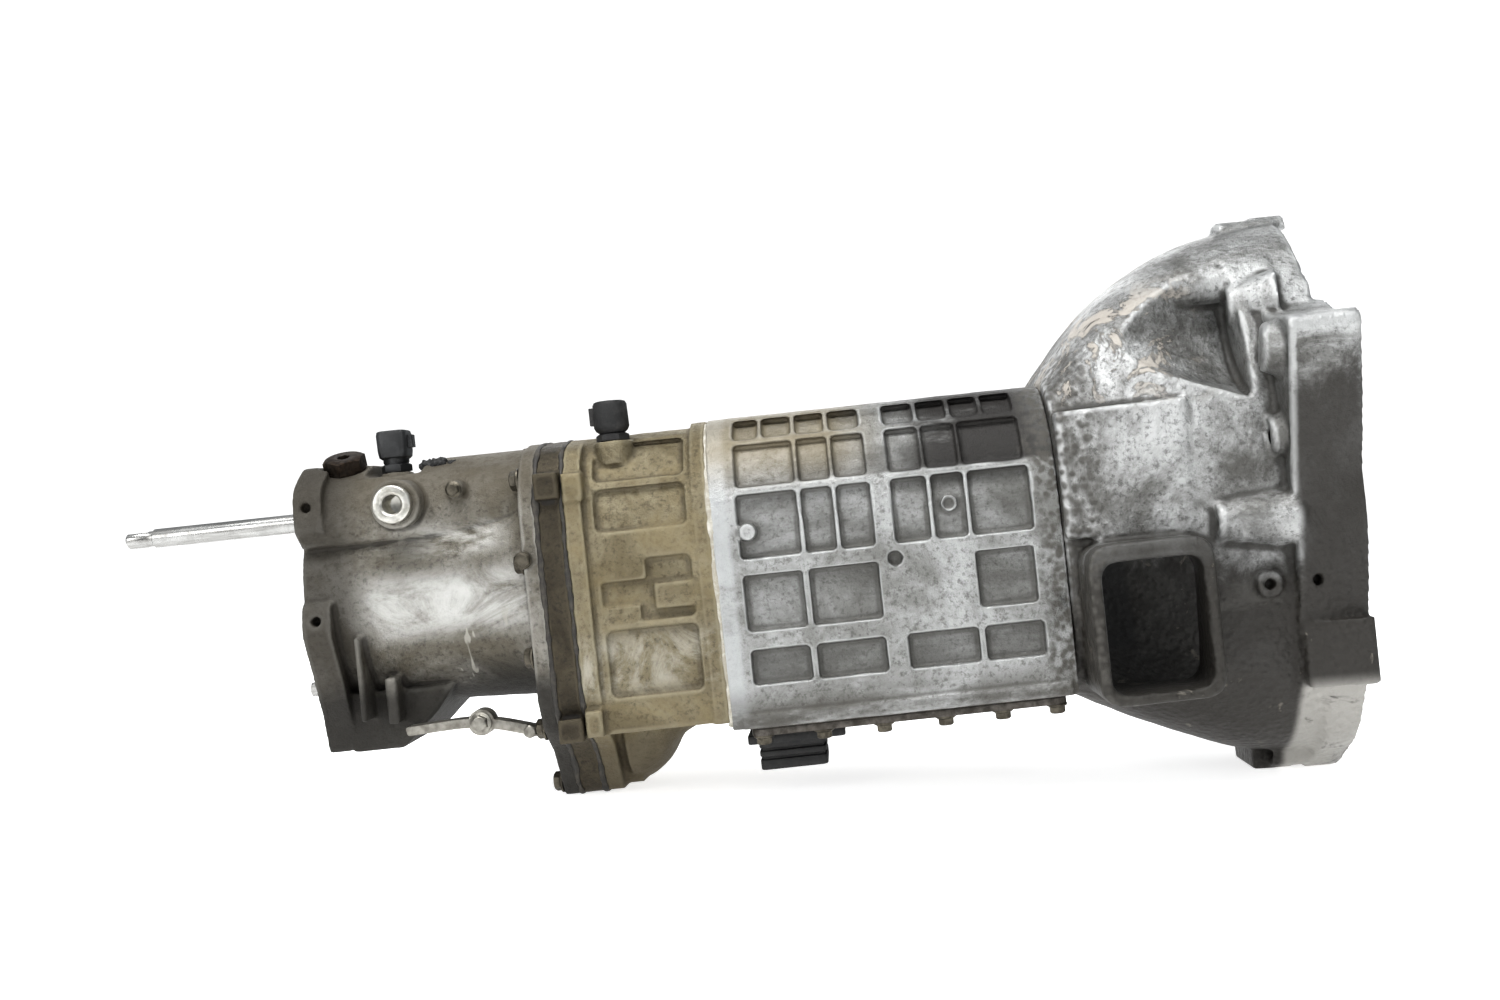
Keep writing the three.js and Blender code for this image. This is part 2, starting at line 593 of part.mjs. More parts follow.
function portBush() {
  return cut(
    pin([-640, -81, 58], [-640, -88, 58], 13, 18).add(pin([-640, -60, 58], [-640, -82, 58], 9, 16)),
    [pin([-640, -70, 58], [-640, -90, 58], 6.5, 6)],
  );
}

function neutralSwitch() {
  return union([
    pin([...NEUTRAL_SWITCH, 67], [...NEUTRAL_SWITCH, 84], 6, 12),
    hexPrism([...NEUTRAL_SWITCH, 82.4], [...NEUTRAL_SWITCH, 88], 19),
    pin([...NEUTRAL_SWITCH, 87], [...NEUTRAL_SWITCH, 93], 9, 16),
    prismZ(roundedRectangle([-663, -641], [-37, -15], 5), [92, 112]),
  ]);
}

function reverseLampSwitch() {
  return union([
    pin([...LAMP_SWITCH, 73], [...LAMP_SWITCH, 88], 7, 12),
    hexPrism([...LAMP_SWITCH, 86.4], [...LAMP_SWITCH, 92], 20),
    pin([...LAMP_SWITCH, 91], [...LAMP_SWITCH, 114], 12.4, 16, 11.6),
  ]);
}

function lowerBracket() {
  const strip = outline([[-652, -95, 2], [-600, -92.5, 20], [-558, -105, 3], [-561, -111, 3], [-601, -99, 20],
    [-651, -101, 2]]);
  return prismY(strip, [-70, -56], 3);
}

function pointingDown(x, y, top, shank, acrossFlats) {
  return union([
    pin([x, y, top + 6], [x, y, top - 5], shank, 12),
    hexPrism([x, y, top - 4], [x, y, top - 12], acrossFlats),
  ]);
}

// The breather stands on the far side, out of the way of the switches.
function breather() {
  const [x, z] = [-470, 14];
  return pin([x, 88.4, z], [x, 95, z], 6, 12).add(pin([x, 94, z], [x, 105, z], 8, 14, 6));
}

// ---------------------------------------------------------------- gears
const ADDENDUM = 0.8 * MODULE;
const DEDENDUM = 1.2 * MODULE;
const ROOT_SHARE = 0.27; // half tooth width at the root, as a share of the pitch
const TIP_SHARE = 0.11;

// A tooth is centred on the angle `phase`, measured from +Y towards +Z.
function gearBlank(x, teeth, y, z, phase) {
  const shape = new THREE.Shape();
  const pitch = (2 * Math.PI) / teeth;
  const root = pitchRadius(teeth) - DEDENDUM;
  const tip = pitchRadius(teeth) + ADDENDUM;
  for (let i = 0; i < teeth; i += 1) {
    const middle = phase + i * pitch;
    const corners = [[root, -ROOT_SHARE], [tip, -TIP_SHARE], [tip, TIP_SHARE], [root, ROOT_SHARE]];
    corners.forEach(([radius, share], k) => {
      const angle = middle + share * pitch;
      const place = [y + radius * Math.cos(angle), z + radius * Math.sin(angle)];
      if (i === 0 && k === 0) shape.moveTo(...place);
      else shape.lineTo(...place);
    });
  }
  shape.closePath();
  return prismX(shape, x);
}

function bored(solid, radius, y, z) {
  return solid.subtract(rod([-520, -200], radius, y, z, ROUND));
}

// The phase of a gear that meshes with another whose centre lies in the direction `towards` from it.
function meshPhase(towards, phase, teeth, otherTeeth) {
  const share = ((towards - phase) * teeth) / (2 * Math.PI);
  const offset = share - Math.floor(share);
  return towards + Math.PI + ((offset + 0.5) * 2 * Math.PI) / otherTeeth;
}

const UP = Math.PI / 2;
const GEAR_BORE = 18;
const NECK_RADIUS = 19.9;
const NECK_LENGTH = 0.6;

// The dog ring stands on a short neck on the side of the gear that faces its sleeve.
function dogRing(x, side, radius) {
  const face = side > 0 ? x[1] : x[0];
  const end = face + side * DOG_WIDTH;
  const start = face + side * NECK_LENGTH;
  const ring = rod([Math.min(start, end), Math.max(start, end)], radius, 0, 0, ROUND);
  return ring.add(rod([Math.min(x[1] - 4, end + 1), Math.max(x[0] + 4, end - 1)], NECK_RADIUS, 0, 0, ROUND));
}

function gearWithDog(x, teeth, phase, side) {
  return bored(gearBlank(x, teeth, 0, 0, phase).add(dogRing(x, side, DOG_RADIUS)), GEAR_BORE, 0, 0);
}

function mainGear(x, teeth, counterTeeth, side) {
  return gearWithDog(x, teeth, meshPhase(UP, 0, counterTeeth, teeth), side);
}

function inputShaft() {
  const phase = meshPhase(UP, 0, TEETH.counterInput, TEETH.input);
  const splineCount = 8;
  const splines = [];
  for (let i = 0; i < splineCount; i += 1) {
    const angle = (i * 2 * Math.PI) / splineCount;
    splines.push(rod([-86, -30], 2.2, 11 * Math.cos(angle), 11 * Math.sin(angle), 5));
  }
  const shaft = union([
    rod([-22, 0], 7.5, 0, 0, 18),
    rod([-90, -20], 11.2, 0, 0, 18),
    ...splines,
    rod([-190, -88], 13.5, 0, 0, 18),
    rod([-218, -189], INPUT_BEARING_RADII[0] - GAP, 0, 0, 18),
    gearBlank(INPUT_GEAR, TEETH.input, 0, 0, phase),
    dogRing(INPUT_GEAR, -1, DOG_RADIUS),
    rod([-230, -214], 20, 0, 0, 18),
  ]);
  return shaft.subtract(rod([-250, -224], 12, 0, 0, 18));
}

function mainShaft() {
  return union([
    rod([-248, -226], 9, 0, 0, 18),
    rod([-512, -246], MAIN_RADIUS, 0, 0, 18),
    rod([-524, -511], 21, 0, 0, 18),
    rod([-546, -523], MAIN_RADIUS, 0, 0, 18),
    rod([-676, -545], 20, 0, 0, 18),
    rod([-706, -675], 15.5, 0, 0, 18),
  ]);
}

function synchroHub(x) {
  return tube(x, MAIN_RADIUS + GAP, HUB_RADIUS, 0, 0, ROUND);
}

function synchroSleeve(hub) {
  const middle = (hub[0] + hub[1]) / 2;
  const half = (hub[1] - hub[0]) / 2 - 1;
  const ring = tube([middle - half, middle + half], SLEEVE_BORE, SLEEVE_RADIUS, 0, 0, ROUND);
  const groove = [middle - GROOVE_WIDTH / 2, middle + GROOVE_WIDTH / 2];
  return ring.subtract(tube(groove, GROOVE_RADIUS, SLEEVE_RADIUS + 2, 0, 0, ROUND));
}

function blockerRing(x) {
  return tube([x + 0.6, x + DOG_WIDTH - 0.6], 22, 29, 0, 0, 18);
}

// A fork straddles the upper half of its sleeve's groove and is clamped to its own rail.
function shiftFork(hub, railY) {
  const middle = (hub[0] + hub[1]) / 2;
  const thick = [middle - 2.8, middle + 2.8];
  const ring = tube(thick, GROOVE_RADIUS + 0.6, 46, 0, 0, ROUND);
  const lower = box([thick[0] - 1, thick[1] + 1], [-60, 60], [-60, -8]);
  const arm = prismX(
    outline([[-16, 40, 0], [16, 40, 0], [railY + 8, RAIL_Z - 4, 0], [railY - 8, RAIL_Z - 4, 0]]), thick,
  );
  const collar = rod([middle - 9, middle + 9], 8.8, railY, RAIL_Z, 18);
  const railHole = rod([middle - 12, middle + 12], RAIL_RADIUS + GAP, railY, RAIL_Z, 16);
  const sleeveRoom = rod([thick[0] - 1, thick[1] + 1], GROOVE_RADIUS + 0.6, 0, 0, ROUND);
  return cut(union([ring.subtract(lower), arm, collar]), [railHole, sleeveRoom]);
}

// Each rail ends in a gate plate above the selector finger.
function shiftRail(y, gateIndex) {
  const gateY = gateIndex * GATE_PITCH;
  const rail = rod([RAIL_REAR, RAIL_FRONT], RAIL_RADIUS, y, RAIL_Z, 16);
  const gate = box([RAIL_REAR, RAIL_REAR + 6], [gateY - 2, gateY + 2], [66, RAIL_Z]);
  if (gateIndex === 0) return rail.add(gate);
  const arm = box(
    [RAIL_REAR, RAIL_REAR + 6], [Math.min(y, gateY - 2), Math.max(y, gateY + 2)], [RAIL_Z - 3, RAIL_Z + 2],
  );
  return union([rail, arm, gate]);
}

function countershaft() {
  const pairs = [
    [INPUT_GEAR, TEETH.counterInput], [THIRD_GEAR, TEETH.counterThird],
    [SECOND_GEAR, TEETH.counterSecond], [FIRST_GEAR, TEETH.counterFirst],
  ];
  return union([
    rod([-404, -214], COUNTER_RADIUS, 0, COUNTER_Z, 18),
    rod([-545, -196], COUNTER_REAR_RADIUS, 0, COUNTER_Z, 18),
    ...pairs.map(([x, teeth]) => gearBlank(x, teeth, 0, COUNTER_Z, 0)),
  ]);
}

function fixedCounterGear(x, teeth) {
  return bored(gearBlank(x, teeth, 0, COUNTER_Z, 0), COUNTER_REAR_RADIUS + GAP, 0, COUNTER_Z);
}

// ---------------------------------------------------------------- selector parts
const FINGER_X = [-572, -560];

function controlRod() {
  const groove = tube([-846, -842], ROD_RADIUS - 1.2, ROD_RADIUS + 2, 0, ROD_Z, 18);
  const flat = box([-858, -846], [-10, 10], [ROD_Z + 5.2, ROD_Z + 10]);
  return cut(
    rod([ROD_TIP + 2, ROD_FRONT], ROD_RADIUS, 0, ROD_Z).add(
      rod([ROD_TIP, ROD_TIP + 2], ROD_RADIUS, 0, ROD_Z, 18, ROD_RADIUS - 1.5),
    ),
    [groove, flat],
  );
}

function selectorFinger() {
  const ring = tube(FINGER_X, ROD_RADIUS + GAP, ROD_RADIUS + 3.2, 0, ROD_Z, 18);
  const lever = box([FINGER_X[0] + 3, FINGER_X[1] - 3], [-3, 3], [ROD_Z - 22, ROD_Z - 8]);
  const tip = box([FINGER_X[0] + 3, FINGER_X[1] - 3], [-1.6, 1.6], [ROD_Z + 8, 65]);
  return union([ring, lever, tip]);
}

function interlockSleeve() {
  const sleeve = tube([-614, -592], ROD_RADIUS + 0.5, ROD_RADIUS + 5, 0, ROD_Z, 18);
  const fin = box([-612, -594], [-2.5, 2.5], [ROD_Z - 20, ROD_Z - 10]);
  return sleeve.add(fin);
}

// ---------------------------------------------------------------- assembly
add('clutch_housing', clutchHousing(), 'castBell');
add('main_case', mainCase(), 'castBright');
add('intermediate_housing', intermediateHousing(), 'castBrown');
add('bearing_plate', bearingPlate(), 'castDark');
add('extension_housing', extensionHousing(), 'castDark');
add('under_cover', underCover(), 'castDark');
add('under_cover_gasket', underCoverGasket(), 'gasket');
add('support_block', supportBlock(), 'rubber');
add('lower_bracket', lowerBracket(), 'zinc');
add('front_bearing_retainer', retainer(), 'castBright');
add('input_oil_seal', tube([-146, -138], 13.8, 15.7), 'rubber');
add('output_oil_seal', tube([-712, -702], 16, OUTPUT_BORE - GAP), 'rubber');
add('interlock_plug', interlockPlug(), 'rusty');
add('port_bush', portBush(), 'zinc');
add('neutral_switch', neutralSwitch(), 'plastic');
add('reverse_lamp_switch', reverseLampSwitch(), 'plastic');
add('tail_dowel_pin', rod([-724, -695], 5, -38, -65, 16), 'steel');
add('drain_plug', pointingDown(-300, 20, -126.8, 9, 24), 'steel');
add('filler_plug', pin([-290, 84, -34], [-290, 97, -34], 10.7, 14)
  .add(hexPrism([-290, 96.4, -34], [-290, 103, -34], 24)), 'steel');
add('breather', breather(), 'zinc');
add('release_fork_pivot', pin([BELL_REAR + BELL_WALL + GAP, 58, -20], [-150, 58, -20], 6, 12)
  .add(pin([-151, 58, -20], [-146, 58, -20], 7.5, 12, 4)), 'steel');

add('input_bearing', bearing([-210, -194], INPUT_BEARING_RADII, 0), 'steel');
add('main_centre_bearing', bearing([-425, -409], MAIN_BEARING_RADII, 0), 'steel');
add('main_rear_bearing', bearing([-541.5, -526.5], MAIN_BEARING_RADII, 0), 'steel');
add('countershaft_front_bearing', bearing([-209, -195], COUNTER_BEARING_RADII, COUNTER_Z), 'steel');
add('countershaft_centre_bearing', bearing([-424, -409], COUNTER_BEARING_RADII, COUNTER_Z), 'steel');
add('countershaft_rear_bearing', bearing([-541.5, -527], COUNTER_BEARING_RADII, COUNTER_Z), 'steel');

add('input_shaft', inputShaft(), 'steel');
add('countershaft', countershaft(), 'gear');
add('countershaft_fifth_gear', fixedCounterGear(FIFTH_GEAR, TEETH.counterFifth), 'gear');
add('countershaft_reverse_gear', fixedCounterGear(REVERSE_GEAR, TEETH.counterReverse), 'gear');
add('mainshaft', mainShaft(), 'steel');
add('third_gear', mainGear(THIRD_GEAR, TEETH.third, TEETH.counterThird, 1), 'gear');
add('second_gear', mainGear(SECOND_GEAR, TEETH.second, TEETH.counterSecond, -1), 'gear');
add('first_gear', mainGear(FIRST_GEAR, TEETH.first, TEETH.counterFirst, 1), 'gear');
add('fifth_gear', mainGear(FIFTH_GEAR, TEETH.fifth, TEETH.counterFifth, 1), 'gear');

const toIdler = Math.atan2(IDLER_Z - COUNTER_Z, IDLER_Y);
const idlerPhase = meshPhase(toIdler, 0, TEETH.counterReverse, TEETH.idler);
const idlerToMain = Math.atan2(-IDLER_Z, -IDLER_Y);
const reversePhase = meshPhase(idlerToMain, idlerPhase, TEETH.idler, TEETH.reverse);
add('reverse_idler_shaft', rod([-456, -409], IDLER_SHAFT_RADIUS, IDLER_Y, IDLER_Z, 16), 'steel');
const idlerBlank = gearBlank(REVERSE_GEAR, TEETH.idler, IDLER_Y, IDLER_Z, idlerPhase);
add('reverse_idler_gear', bored(idlerBlank, IDLER_SHAFT_RADIUS + 0.5, IDLER_Y, IDLER_Z), 'gear');
add('reverse_gear', gearWithDog(REVERSE_GEAR, TEETH.reverse, reversePhase, -1), 'gear');

add('hub_third_fourth', synchroHub(HUB_34), 'gear');
add('hub_first_second', synchroHub(HUB_12), 'gear');
add('hub_fifth_reverse', synchroHub(HUB_5R), 'gear');
add('blocker_ring_fourth', blockerRing(HUB_34[1]), 'brass');
add('blocker_ring_third', blockerRing(HUB_34[0] - DOG_WIDTH), 'brass');
add('blocker_ring_second', blockerRing(HUB_12[1]), 'brass');
add('blocker_ring_first', blockerRing(HUB_12[0] - DOG_WIDTH), 'brass');
add('blocker_ring_fifth', blockerRing(HUB_5R[0] - DOG_WIDTH), 'brass');
add('sleeve_third_fourth', synchroSleeve(HUB_34), 'gear');
add('sleeve_first_second', synchroSleeve(HUB_12), 'gear');
add('sleeve_fifth_reverse', synchroSleeve(HUB_5R), 'gear');
add('fork_third_fourth', shiftFork(HUB_34, RAIL_Y.thirdFourth), 'castDark');
add('fork_first_second', shiftFork(HUB_12, RAIL_Y.firstSecond), 'castDark');
add('fork_fifth_reverse', shiftFork(HUB_5R, RAIL_Y.fifthReverse), 'castDark');
add('rail_third_fourth', shiftRail(RAIL_Y.thirdFourth, -1), 'steel');
add('rail_first_second', shiftRail(RAIL_Y.firstSecond, 0), 'steel');
add('rail_fifth_reverse', shiftRail(RAIL_Y.fifthReverse, 1), 'steel');
add('interlock_sleeve', interlockSleeve(), 'steel');
add('control_rod', controlRod(), 'steel');
add('selector_finger', selectorFinger(), 'steel');

export default transmission;
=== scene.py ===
"""The looks of a manual transmission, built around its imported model.

Lengths are millimetres in the row frame until a piece is finished, when it is scaled to metres.
+X runs towards the engine, +Z is up and -Y is the near side, with the release-fork window.
"""
import json
import math

import bmesh
import bpy
import numpy as np
from mathutils import Matrix, Vector, noise


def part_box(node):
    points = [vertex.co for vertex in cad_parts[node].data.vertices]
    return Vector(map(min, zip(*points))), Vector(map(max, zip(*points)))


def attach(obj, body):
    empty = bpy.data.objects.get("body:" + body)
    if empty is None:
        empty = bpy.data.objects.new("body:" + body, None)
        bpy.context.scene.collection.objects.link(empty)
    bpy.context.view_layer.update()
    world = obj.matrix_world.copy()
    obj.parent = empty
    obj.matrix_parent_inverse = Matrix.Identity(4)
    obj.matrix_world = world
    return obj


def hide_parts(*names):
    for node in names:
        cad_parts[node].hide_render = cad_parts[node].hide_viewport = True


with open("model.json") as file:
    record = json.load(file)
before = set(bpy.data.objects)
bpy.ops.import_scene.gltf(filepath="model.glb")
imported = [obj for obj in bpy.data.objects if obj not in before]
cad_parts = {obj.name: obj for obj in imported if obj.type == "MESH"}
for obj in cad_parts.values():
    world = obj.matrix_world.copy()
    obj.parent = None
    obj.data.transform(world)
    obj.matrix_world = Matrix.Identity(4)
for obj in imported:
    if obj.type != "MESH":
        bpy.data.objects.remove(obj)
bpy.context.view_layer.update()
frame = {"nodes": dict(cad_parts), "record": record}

MM = 0.001
FORWARD = (1, 0, 0)
BACKWARD = (-1, 0, 0)
NEAR = (0, -1, 0)
FAR = (0, 1, 0)
UP = (0, 0, 1)
DOWN = (0, 0, -1)


def span(node):
    """The lowest and highest corner of a CAD node, in millimetres."""
    low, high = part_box(node)
    return low / MM, high / MM


# ---------------------------------------------------------------- driving dimensions, from the frame
BELL_REAR = span("clutch_housing")[0].x
CASE_REAR = span("main_case")[0].x
CASE_FRONT = span("main_case")[1].x
MIDDLE_REAR = span("intermediate_housing")[0].x
MIDDLE_FRONT = span("intermediate_housing")[1].x
PLATE_REAR = span("bearing_plate")[0].x
PLATE_FRONT = span("bearing_plate")[1].x
TAIL_REAR = span("extension_housing")[0].x
TAIL_FRONT = span("extension_housing")[1].x
COVER_LOW = span("under_cover")[0].z
ROD_TIP = span("control_rod")[0].x
ROD_FRONT = span("control_rod")[1].x
ROD_Z = sum(corner.z for corner in span("control_rod")) / 2

CASE_HALF_WIDTH = 90
CASE_TOP = 95
CASE_BOTTOM = -118
COUNTER_Z = -66
RAIL_Z = 72
LAMP_SWITCH = (-491, -58)
NEUTRAL_SWITCH = (-652, -26)
RIB_HEIGHT = 5
CASE_WALL = 9
BELL_SKIN = 6
MAIN_BORE = 35.3
INPUT_BORE = 38.3
COUNTER_BORE = 26.3


# ---------------------------------------------------------------- outlines
def rounded(points, steps=6):
    """A closed outline through (a, b, corner radius) points."""
    result = []
    for i, (a, b, radius) in enumerate(points):
        here = Vector((a, b))
        if radius == 0:
            result.append(here)
            continue
        before = (Vector(points[i - 1][:2]) - here).normalized()
        after = (Vector(points[(i + 1) % len(points)][:2]) - here).normalized()
        start = here + before * radius
        end = here + after * radius
        for k in range(steps + 1):
            t = k / steps
            result.append(start * (1 - t) ** 2 + here * 2 * t * (1 - t) + end * t ** 2)
    return result


def rectangle(a, b, radius, steps=5):
    corners = [(a[0], b[0]), (a[1], b[0]), (a[1], b[1]), (a[0], b[1])]
    return rounded([(*corner, radius) for corner in corners], steps)


def mirrored(half):
    """A near-side half outline, from top centre to bottom centre, with its far side added."""
    far = [(-y, z, radius) for y, z, radius in half if y < 0]
    return rounded([*half, *reversed(far)])


def bezier(a, b, c, d, steps=14):
    for k in range(1, steps + 1):
        t = k / steps
        yield a * (1 - t) ** 3 + b * 3 * t * (1 - t) ** 2 + c * 3 * t ** 2 * (1 - t) + d * t ** 3


def case_outline(inset, half_width=CASE_HALF_WIDTH, top=CASE_TOP, bottom=CASE_BOTTOM):
    """The case's section: upright sides under a barrel-shaped top."""
    y = half_width - inset
    z = top - inset
    shoulder = 20
    crown = 30
    right = [Vector((y, shoulder)), Vector((y, shoulder + 38)), Vector((y - 24, z)), Vector((crown, z))]
    left = [Vector((-p.x, p.y)) for p in reversed(right)]
    start = [Vector((-y, bottom)), Vector((y, bottom)), right[0]]
    return [*start, *bezier(*right), left[0], *bezier(*left)]


ENGINE_FLANGE = [
    (0, 201, 0), (-22, 200, 8), (-30, 166, 12), (-66, 138, 10), (-108, 119, 8), (-152, 115, 10),
    (-138, 57, 14), (-123, 6, 14), (-126, -20, 14), (-112, -73, 12), (-91, -134, 10), (-62, -172, 8),
    (-14, -200, 5), (46, -201, 12), (112, -150, 18), (146, -90, 20), (158, -20, 20), (160, 50, 22),
    (140, 116, 22), (104, 152, 20), (60, 182, 20),
]
SANDWICH_HALF = [
    (0, 91, 0), (-34, 91, 8), (-70, 84, 14), (-90, 56, 14), (-93, 20, 8), (-93, -86, 10),
    (-82, -108, 10), (-56, -126, 12), (-44, -150, 8), (-36, -159, 4), (0, -159, 0),
]
TAIL_HALF = [
    (0, 91, 0), (-44, 91, 8), (-70, 74, 10), (-73, 44, 6), (-56, 34, 6), (-49, 18, 8), (-54, 2, 6),
    (-74, -4, 8), (-79, -24, 8), (-64, -60, 8), (-54, -90, 4), (-50, -110, 3), (0, -110, 0),
]


# ---------------------------------------------------------------- closed meshes
def solid(vertices, faces):
    """A closed mesh with its faces pointing out, as an object in millimetres."""
    bm = bmesh.new()
    corners = [bm.verts.new(v) for v in vertices]
    for face in faces:
        bm.faces.new([corners[i] for i in face])
    bmesh.ops.recalc_face_normals(bm, faces=bm.faces)
    mesh = bpy.data.meshes.new("part")
    bm.to_mesh(mesh)
    bm.free()
    obj = bpy.data.objects.new("part", mesh)
    bpy.context.scene.collection.objects.link(obj)
    return obj


def skin(rings):
    """A closed skin through rings of equal length, capped at both ends."""
    count = len(rings[0])
    vertices = [point for ring in rings for point in ring]
    faces = [list(range(count)), list(range(len(vertices) - count, len(vertices)))]
    for r in range(len(rings) - 1):
        for i in range(count):
            j = (i + 1) % count
            faces.append([r * count + i, r * count + j, (r + 1) * count + j, (r + 1) * count + i])
    return solid(vertices, faces)


def ring_faces(rings, count):
    """The faces of a skin whose last ring joins its first."""
    faces = []
    for i in range(rings):
        j = (i + 1) % rings
        for k in range(count):
            m = (k + 1) % count
            faces.append([i * count + k, i * count + m, j * count + m, j * count + k])
    return faces


def prism(outline, ends, place):
    """An outline swept between two ends. place(a, b, end) gives a point in the row frame."""
    return skin([[place(a, b, end) for a, b in outline] for end in ends])


def prism_x(outline, x):
    return prism(outline, x, lambda a, b, end: (end, a, b))


def prism_y(outline, y):
    return prism(outline, y, lambda a, b, end: (a, end, b))


def prism_z(outline, z):
    return prism(outline, z, lambda a, b, end: (a, b, end))


def block(x, y, z):
    return prism_x(rectangle(y, z, 0), x)


def turned(profile, start=(0, 0, 0), direction=FORWARD, sides=48):
    """A profile of (distance along, radius) turned about a line. A radius of zero closes an end."""
    turn = Vector(direction).to_track_quat("Z", "X").to_matrix()
    origin = Vector(start)
    rings = []
    for along, radius in profile:
        ring = []
        for i in range(sides):
            angle = 2 * math.pi * i / sides
            local = Vector((radius * math.cos(angle), radius * math.sin(angle), along))
            ring.append(origin + turn @ local)
        rings.append(ring)
    return skin(rings)


def pin(start, end, radius, end_radius=None, sides=40):
    direction = Vector(end) - Vector(start)
    last = radius if end_radius is None else end_radius
    return turned([(0, radius), (direction.length, last)], start, direction, sides)


def rod(x, radius, y=0, z=0, front_radius=None, sides=48):
    return pin((x[0], y, z), (x[1], y, z), radius, front_radius, sides)


def loft(stations, sides=112, steps=7):
    """A skin through stations of (x, top, bottom, near, far, power, centre height), curved between them."""
    fine = []
    for i in range(len(stations) - 1):
        around = [max(i - 1, 0), i, i + 1, min(i + 2, len(stations) - 1)]
        p0, p1, p2, p3 = (np.array(stations[k], float) for k in around)
        for k in range(steps):
            t = k / steps
            bend = (p2 - p0) * t + (2 * p0 - 5 * p1 + 4 * p2 - p3) * t ** 2
            bend += (3 * p1 - p0 - 3 * p2 + p3) * t ** 3
            fine.append(p1 + bend / 2)
    fine.append(np.array(stations[-1], float))
    rings = []
    for x, top, bottom, near, far, power, centre in fine:
        ring = []
        for i in range(sides):
            c = math.cos(2 * math.pi * i / sides)
            s = math.sin(2 * math.pi * i / sides)
            width = near if c < 0 else far
            height = top if s > 0 else bottom
            y = width * math.copysign(abs(c) ** (2 / power), c)
            ring.append((x, y, centre + height * math.copysign(abs(s) ** (2 / power), s)))
        rings.append(ring)
    return skin(rings)


def toothed(x, teeth, root, tip, root_share, tip_share, phase=0.0, y=0, z=0):
    """Straight teeth along the shaft: a spline or a gear."""
    pitch = 2 * math.pi / teeth
    corners = [(root, -root_share), (tip, -tip_share), (tip, tip_share), (root, root_share)]
    points = []
    for i in range(teeth):
        for radius, share in corners:
            angle = phase + (i + share) * pitch
            points.append(Vector((y + radius * math.cos(angle), z + radius * math.sin(angle))))
    return prism_x(points, x)


# ---------------------------------------------------------------- joining and finishing
def bake(obj):
    """Turns the object's modifiers into its mesh."""
    graph = bpy.context.evaluated_depsgraph_get()
    mesh = bpy.data.meshes.new_from_object(obj.evaluated_get(graph))
    obj.modifiers.clear()
    obj.data = mesh
    return obj


def combine(target, tools, operation):
    for tool in tools:
        modifier = target.modifiers.new("boolean", "BOOLEAN")
        modifier.operation = operation
        modifier.solver = "MANIFOLD"
        modifier.object = tool
    bake(target)
    for tool in tools:
        bpy.data.objects.remove(tool)
    return target


def join(parts):
    return combine(parts[0], parts[1:], "UNION")


def cut(target, tools):
    return combine(target, tools, "DIFFERENCE")


def side_by_side(parts):
    """Parts that don't touch, as one mesh."""
    bm = bmesh.new()
    for part in parts:
        bm.from_mesh(part.data)
    first = parts[0]
    bm.to_mesh(first.data)
    bm.free()
    for part in parts[1:]:
        bpy.data.objects.remove(part)
    return first


def coordinates(mesh):
    values = np.empty(len(mesh.vertices) * 3)
    mesh.vertices.foreach_get("co", values)
    return values.reshape(-1, 3)


def normals(mesh):
    values = np.empty(len(mesh.vertices) * 3)
    mesh.vertices.foreach_get("normal", values)
    return values.reshape(-1, 3)


def neighbour_mean(edges, values):
    """The mean of each vertex's neighbours."""
    shape = (values.shape[0], 1) if values.ndim == 2 else values.shape[0]
    total = np.zeros_like(values)
    count = np.zeros(shape)
    np.add.at(total, edges[:, 0], values[edges[:, 1]])
    np.add.at(total, edges[:, 1], values[edges[:, 0]])
    np.add.at(count, edges[:, 0], 1)
    np.add.at(count, edges[:, 1], 1)
    return total / np.maximum(count, 1)


def mark_relief(mesh, spacing):
    """Stores how far each vertex stands out: above 0.5 on edges and ribs, below it in corners."""
    edges = np.empty(len(mesh.edges) * 2, int)
    mesh.edges.foreach_get("vertices", edges)
    edges = edges.reshape(-1, 2)
    co = coordinates(mesh)
    lift = ((co - neighbour_mean(edges, co)) * normals(mesh)).sum(1)
    for _ in range(4):
        lift = 0.4 * lift + 0.6 * neighbour_mean(edges, lift)
    attribute = mesh.attributes.new("relief", "FLOAT", "POINT")
    attribute.data.foreach_set("value", np.clip(0.5 + 4 * lift / spacing, 0, 1).astype(np.float32))


def ripple(mesh, height, size, seed):
    """Moves the surface in and out by a little, as a sand mould does."""
    co = coordinates(mesh)
    amount = [noise.fractal(Vector(p / size) + Vector((seed, 0, 0)), 1.0, 2.0, 3) for p in co]
    moved = co + normals(mesh) * np.array(amount)[:, None] * height
    mesh.vertices.foreach_set("co", moved.ravel())
    mesh.update()


def cast(obj, voxel, triangles, seed, smoothing=2):
    """Gives a sharp shape the rounded edges and uneven skin of a sand casting."""
    remesh = obj.modifiers.new("remesh", "REMESH")
    remesh.mode = "VOXEL"
    remesh.voxel_size = voxel
    smooth = obj.modifiers.new("smooth", "SMOOTH")
    smooth.factor = 0.5
    smooth.iterations = smoothing
    bake(obj)
    mark_relief(obj.data, voxel)
    reduce = obj.modifiers.new("reduce", "DECIMATE")
    reduce.ratio = min(1, triangles / (2 * len(obj.data.polygons)))
    bake(obj)
    ripple(obj.data, 0.35, 16, seed)
    return obj


def bevel(obj, width, segments=2, angle=35):
    modifier = obj.modifiers.new("bevel", "BEVEL")
    modifier.width = width
    modifier.segments = segments
    modifier.limit_method = "ANGLE"
    modifier.angle_limit = math.radians(angle)
    return bake(obj)


